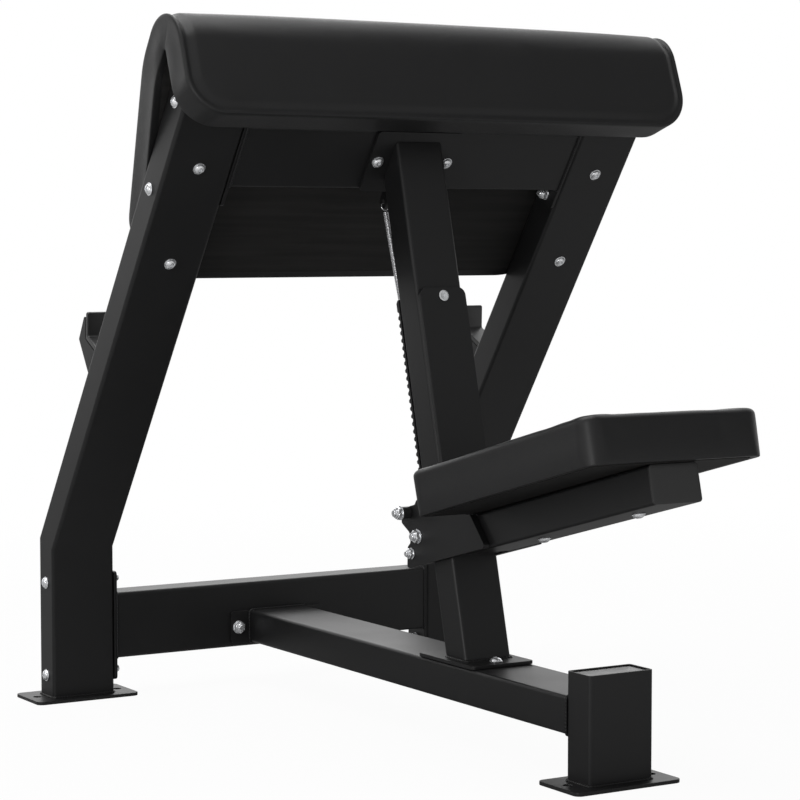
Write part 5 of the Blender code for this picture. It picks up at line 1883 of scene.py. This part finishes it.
def coordinates(mesh: bpy.types.Mesh) -> Points:
    """The places of a mesh's vertices.

    Args:
        mesh: the mesh.

    Returns:
        One (x, y, z) in each row.
    """
    flat = np.empty(3 * len(mesh.vertices), np.float32)
    mesh.vertices.foreach_get("co", flat)
    return flat.reshape(-1, 3).astype(float)


@dataclass
class SeatCushion(Cushion):
    """The seat's cushion on the seat tube."""

    front: float = -0.0695
    bottom: float = 0.0503

    def to_bench(self, flat: Points) -> Points:
        """Across is X, along runs back from the seat's front, and height is up from the tube."""
        depth, height = self.front - flat[:, 1], self.bottom + flat[:, 2]
        return SEAT_LINE.world(np.stack([flat[:, 0], depth, height], 1))

    def held(self, points: Points) -> Points:
        """The underside, up to a little over the tube's top."""
        local = (points - SEAT_LINE.origin) @ SEAT_LINE.axes.T
        return local[:, 2] < self.bottom + self.held_height


@dataclass(frozen=True)
class Fold:
    """The arm pad's fold over the legs: two planes joined by a small round."""

    radius: float = 0.004
    rear_lean: float = 19.5
    ridge_above_leg: float = 0.046

    def sizes(self) -> tuple[Points, float, float]:
        """The fold's centre in the stand's (depth, height), and its rear and front angles.

        The centre lies down the bisector of the two faces at radius over the sine of half the
        angle between them, from the ridge where the inner planes meet.

        Returns:
            The centre, and the two angles in radians.
        """
        turn = math.radians(LEG_LEAN)
        face = np.array((math.cos(turn), math.sin(turn)))
        slope = np.array((-math.sin(turn), math.cos(turn)))
        up_slope = slope * (LEG_SLOPE + self.ridge_above_leg)
        ridge = np.array((0, KNEE_HEIGHT)) + face * (TUBE_NARROW + FIT) + up_slope
        rear, front = math.radians(180 - self.rear_lean), turn
        middle = (rear + front) / 2
        inward = -np.array((math.cos(middle), math.sin(middle)))
        return ridge + inward * self.radius / math.sin(self.half()), rear, front

    def half(self) -> float:
        """Half the angle between the two inner planes, in radians."""
        return math.radians(LEG_LEAN + self.rear_lean) / 2

    def tangent(self) -> float:
        """How far from the ridge the round starts."""
        return self.radius / math.tan(self.half())

    def arc(self) -> float:
        """The length of the inner round."""
        _, rear, front = self.sizes()
        return self.radius * (rear - front)

    def bent(self, flat: Points) -> Points:
        """Flat (across, along, height) points carried over the fold, in the bench's frame.

        Along is 0 where the rear panel ends. Past it the angle falls evenly over the arc, and
        what is left runs straight down the front panel.

        Args:
            flat: the points before the fold, one in each row.

        Returns:
            The points in the bench's frame.
        """
        centre, rear, front = self.sizes()
        along = flat[:, 1]
        share = np.clip(along / self.arc(), 0, 1)
        angle = rear + (front - rear) * share
        straight = np.where(along < 0, -along, -np.clip(along - self.arc(), 0, None))
        out = self.radius + flat[:, 2]
        depth = centre[0] + np.cos(angle) * out - np.sin(angle) * straight
        height = centre[1] + np.sin(angle) * out + np.cos(angle) * straight
        return STAND.world(np.stack([flat[:, 0], depth, height], 1))


@dataclass
class ArmCushion(Cushion):
    """The arm pad, folded over the top of the legs."""

    fold: Fold = Fold()

    def to_bench(self, flat: Points) -> Points:
        """The flat pad bent over the fold."""
        return self.fold.bent(flat)

    def held(self, points: Points) -> Points:
        """The inner faces: the points less than the held height out from both inner planes.

        Args:
            points: the pad's points, in the bench's frame.

        Returns:
            True for each point that is held.
        """
        centre, rear, front = self.fold.sizes()
        flat = points[:, 1:] - (STAND.origin[1:] + centre)
        out = [flat @ np.array((math.cos(a), math.sin(a))) - self.fold.radius for a in (rear, front)]
        return np.maximum(*out) < self.held_height


# The covers' edges in section: how far in from the side, and how far below the rim.
# The seat's is rounded. The arm pad's has a round corner and a shallow dip inside it.
SEAT_EDGE = (
    (0.0004, 0.0055), (0.0015, 0.0033), (0.0033, 0.0015), (0.0055, 0.0004), (0.0080, 0.0),
)
PAD_EDGE = (
    (0.0001, 0.0058), (0.0009, 0.0028), (0.0030, 0.0016), (0.0056, 0.0030), (0.0082, 0.0041),
    (0.0112, 0.0038), (0.0160, 0.0018), (0.0205, 0.0002), (0.0240, 0.0),
)


@dataclass
class Upholstery:
    """Both cushions and the boards inside them."""

    seat_length: float = 0.4185
    seat_width: float = 0.270
    seat_thickness: float = 0.063
    seat_corner: float = 0.021
    pad_width: float = 0.810
    pad_thickness: float = 0.052
    rear_length: float = 0.114
    front_length: float = 0.380
    rear_corner: float = 0.055
    bend_corner: float = 0.25
    front_corner: float = 0.100
    taper: float = 10.3
    taper_start: float = 0.050
    crown: float = 0.003
    swell_cap: float = 0.0016
    fill: float = 0.9

    def build(self) -> None:
        """Make the cushions, and give the boards their finish."""
        self.seat()
        self.arm_pad()
        for node in ("seat_board", "arm_board_front", "arm_board_rear"):
            dress_node(node, BACKING)

    def seat(self) -> None:
        """The seat's cushion: a rectangle with round corners."""
        half, length = self.seat_width / 2, self.seat_length
        SeatCushion(
            "seat_cushion", "seat_pad", Body.CARRIAGE,
            [(-half, 0), (half, 0), (half, length), (-half, length)], [self.seat_corner] * 4,
            thickness=self.seat_thickness, rolled=SEAT_EDGE, crown=self.crown, draw_in=0.003,
            across=44, along=66, cap=self.swell_cap, fill=self.fill,
        ).build()

    def arm_pad(self) -> None:
        """The arm pad: wide over the fold, and tapering from the bend to its foot."""
        fold = Fold()
        half = self.pad_width / 2
        tangent, arc = fold.tangent(), fold.arc()
        rear = -(self.rear_length - tangent)
        front = arc + self.front_length - tangent
        bend = arc + self.taper_start - tangent
        foot = half - math.tan(math.radians(self.taper)) * (front - bend)
        ArmCushion(
            "arm_cushion", "arm_pad", Body.FRAME,
            [(-half, rear), (half, rear), (half, bend), (foot, front), (-foot, front), (-half, bend)],
            [self.rear_corner] * 2 + [self.bend_corner] + [self.front_corner] * 2 + [self.bend_corner],
            thickness=self.pad_thickness, rolled=PAD_EDGE, crown=self.crown, draw_in=0.002,
            across=104, along=84, cap=self.swell_cap, fill=self.fill, fold_at=(0.0, arc),
            stretch=(fold.radius + self.pad_thickness) / fold.radius, fold=fold,
        ).build()


def dress_node(node: str, finish: Finish) -> None:
    """Give a carried-over node its finish.

    Args:
        node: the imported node, which keeps its own mesh.
        finish: what it is covered with.
    """
    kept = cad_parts[node]
    kept.data.materials.clear()
    kept.data.materials.append(finish.material())
    LOG.info("%s: kept from the model", node)


# The fasteners in their places


@dataclass
class FrameFasteners:
    """Every bolt of the frame, the seat and the arm pad."""

    pitch: float = 0.140
    foot_bolts: Pair = (-0.624, -0.522)
    head_pitch: float = 0.114
    blind: float = 0.018
    pad_bolts: Pair = (0.683, 0.525)
    pad_grip: float = 0.0117
    seat_middle: float = -0.27875
    seat_pitch: float = 0.212
    seat_grip: float = 0.0617

    def build(self) -> None:
        """Make each bolt where its node stands."""
        middle, grip, rearward = TUBE_NARROW / 2, TUBE_WIDE + FIT + PLATE, (0, -1, 0)
        for side, hand in HANDS:
            outer = hand * (LEG_PITCH + TUBE_WIDE) / 2
            for level, sign in (("top", 1), ("bottom", -1)):
                for name, datum, height in (
                    ("lower", STAND, FRONT_BEAM_HEIGHT), ("upper", SLOPE, UPPER_BEAM_ALONG),
                ):
                    spot = datum.moved(outer, middle, height + sign * self.pitch / 2).facing((hand, 0, 0))
                    Bolt(f"{name}_leg_bolt_{side}_{level}", spot, grip).build()
            for level, height in zip(("top", "bottom"), self.pad_bolts):
                spot = SLOPE.moved(hand * LEG_PITCH / 2, 0, height).facing(rearward)
                Bolt(f"arm_pad_bolt_{side}_{level}", spot, TUBE_NARROW + self.pad_grip, nut=False).build()
            spot = STAND.moved(hand * self.pitch / 2, TUBE_NARROW, BASE_BEAM_HEIGHT).facing((0, 1, 0))
            Bolt(f"base_beam_bolt_{side}", spot, TUBE_NARROW + FIT + PLATE).build()
            spot = SLOPE.moved(hand * self.head_pitch / 2, -FIT - PLATE, UPPER_BEAM_ALONG).facing(rearward)
            Bolt(f"column_head_bolt_{side}", spot, self.blind, nut=False).build()
        for name, depth in zip(("rear", "front"), self.foot_bolts):
            spot = STAND.moved(y=depth, z=BASE_BEAM_TOP + FIT + PLATE)
            Bolt(f"column_foot_bolt_{name}", spot, self.blind, nut=False).build()
        for name, sign in (("front", 1), ("rear", -1)):
            spot = SEAT_LINE.moved(y=self.seat_middle + sign * self.seat_pitch / 2).facing((0, 0, -1))
            Bolt(f"seat_bolt_{name}", spot, self.seat_grip, nut=False, body=Body.CARRIAGE).build()


# The studio


@dataclass
class Studio:
    """The pale floor, the soft light and the camera of the photograph."""

    camera_place: Place = (-1.8694, -2.95625, 0.6984)
    camera_turn: Place = (86.21, 0.0, -31.39)
    lens: float = 112.66
    sensor: float = 36.0
    far: float = 60.0
    floor_half: float = 14.0
    floor_drop: float = 0.0004
    softboxes: tuple[tuple, ...] = (
        ("overhead_softbox", (-0.6, 0.4, 3.2), (0, 0, 0.3), 2.6, 62),
        ("left_softbox", (-3.4, 1.0, 1.6), (0, 0, 0.5), 1.6, 12),
        ("rear_softbox", (1.6, 3.2, 2.2), (0, 0, 0.5), 1.6, 12),
        ("camera_softbox", (-3.0, -2.1, 0.9), (0, -0.2, 0.5), 0.8, 20),
    )

    def build(self) -> None:
        """Set up everything round the bench."""
        bpy.context.scene.view_settings.view_transform = "Standard"
        self.camera()
        self.floor()
        self.world()
        for softbox in self.softboxes:
            self.lamp(*softbox)

    def camera(self) -> None:
        """The camera: its place, turn and lens were fitted to the photograph."""
        data = bpy.data.cameras.new("photo_camera")
        data.lens, data.sensor_width, data.clip_end = self.lens, self.sensor, self.far
        made = loose("photo_camera", data)
        made.location = self.camera_place
        made.rotation_euler = [math.radians(a) for a in self.camera_turn]
        bpy.context.scene.camera = made

    def floor(self) -> None:
        """A wide pale floor that shows white and keeps a soft shadow.

        To the camera it glows white. In a reflection it glows as painted light, brighter towards the
        camera's side of the room, and darker near the bench than further out, as a painted shadow of the
        bench.
        """
        rows = self.floor_half * np.array([[(-1, -1, 0), (1, -1, 0)], [(-1, 1, 0), (1, 1, 0)]])
        rows[..., 2] = -self.floor_drop
        piece = loose("studio_floor", Skin.grid(rows, wrap=False, caps=False).mesh("studio_floor"))
        made = bpy.data.materials.new("studio_floor")
        made.use_nodes = True
        graph = Graph(made.node_tree)
        pale = graph.node("BsdfDiffuse", {}, {"Color": (0.8, 0.8, 0.8, 1)})
        where = graph.node("TexCoord", out="Object")
        near = self.towards_camera(graph, where).above(0.3, 1.8)
        reach = graph.node("VectorMath", {"operation": "LENGTH"}, {0: where}, "Value")
        # Painted light in reflections: the floor glows there, and is dimmed near the bench as a painted
        # shadow.
        reflected_glow_with_painted_shadow = (near * 0.50 + 0.33) * (reach.above(0.2, 0.62) * 0.65 + 0.35)
        direct = self.camera_ray(graph)
        strength = direct + (1 - direct) * reflected_glow_with_painted_shadow
        glow = graph.node("Emission", {}, {"Color": (1, 1, 1, 1), "Strength": strength})
        share = self.seen(graph) * (reach.above(0.8, 3.2) * 0.04 + 0.96)
        both = graph.node("MixShader", {}, {0: share, 1: pale, 2: glow})
        graph.node("OutputMaterial", {}, {"Surface": both})
        piece.data.materials.append(made)

    def towards_camera(self, graph: Graph, where: Value) -> Value:
        """How far a place or a direction goes towards the camera's side of the room, level.

        Args:
            graph: the tree that it is worked out in.
            where: the place or the direction.

        Returns:
            Its share along the level way to where the camera stands at rest.
        """
        away = np.array(self.camera_place) * (1, 1, 0)
        away /= np.linalg.norm(away)
        return graph.node("VectorMath", {"operation": "DOT_PRODUCT"}, {0: where, 1: tuple(away)}, "Value")

    @staticmethod
    def camera_ray(graph: Graph) -> Value:
        """1 for rays straight from the camera, else 0."""
        return graph.node("LightPath", out="Is Camera Ray")

    @staticmethod
    def seen(graph: Graph) -> Value:
        """1 for rays from the camera, a mirror or glass, else 0.

        Args:
            graph: the tree that it is worked out in.

        Returns:
            The sum of the three kinds of ray, at most 1.
        """
        path = graph.node("LightPath", out="Is Camera Ray")
        rays = path.socket.node.outputs
        total = path + Value(graph, rays["Is Glossy Ray"]) + Value(graph, rays["Is Transmission Ray"])
        return graph.node("Math", {"operation": "MINIMUM"}, {0: total, 1: 1.0})

    def world(self) -> None:
        """A room that the camera sees white.

        In a reflection it is dark overhead and at the sides, brightest on the far side of the
        bench, and half lit on the camera's side. Its diffuse light is even and weak.
        """
        world = bpy.data.worlds.new("studio_room")
        bpy.context.scene.world = world
        world.use_nodes = True
        graph = Graph(world.node_tree)
        where = graph.node("TexCoord", out="Generated")
        facing = self.towards_camera(graph, where)
        direct = self.camera_ray(graph)
        lit = (facing * -1.0).above(0.2, 0.7) * 1.2 + facing.above(0.0, 0.5) * 0.42 + 0.08
        room = direct + (self.seen(graph) - direct) * lit
        soft = (1 - self.seen(graph)) * 0.30
        light = graph.node("Background", {}, {"Color": (1, 1, 1, 1), "Strength": room + soft})
        graph.node("OutputWorld", {}, {"Surface": light})

    @staticmethod
    def lamp(name: str, place: Place, target: Place, size: float, power: float) -> None:
        """A square softbox.

        Args:
            name: its name.
            place: where it hangs.
            target: what it points at.
            size: its side.
            power: its watts.
        """
        data = bpy.data.lights.new(name, "AREA")
        data.shape, data.size, data.energy = "SQUARE", size, power
        made = loose(name, data)
        made.location = place
        made.rotation_euler = (Vector(target) - Vector(place)).to_track_quat("-Z", "Y").to_euler()


def main() -> None:
    """Build the bench's looks and the studio."""
    logging.basicConfig(level=logging.INFO, format="%(name)s %(message)s")
    for assembly in (
        Studio(), Legs(), Beams(), SeatColumn(), Carriage(), BarCatches(), ReturnSpring(),
        FrameFasteners(), Upholstery(),
    ):
        assembly.build()
        LOG.info("%s built", type(assembly).__name__)


if __name__ == "__main__":
    main()
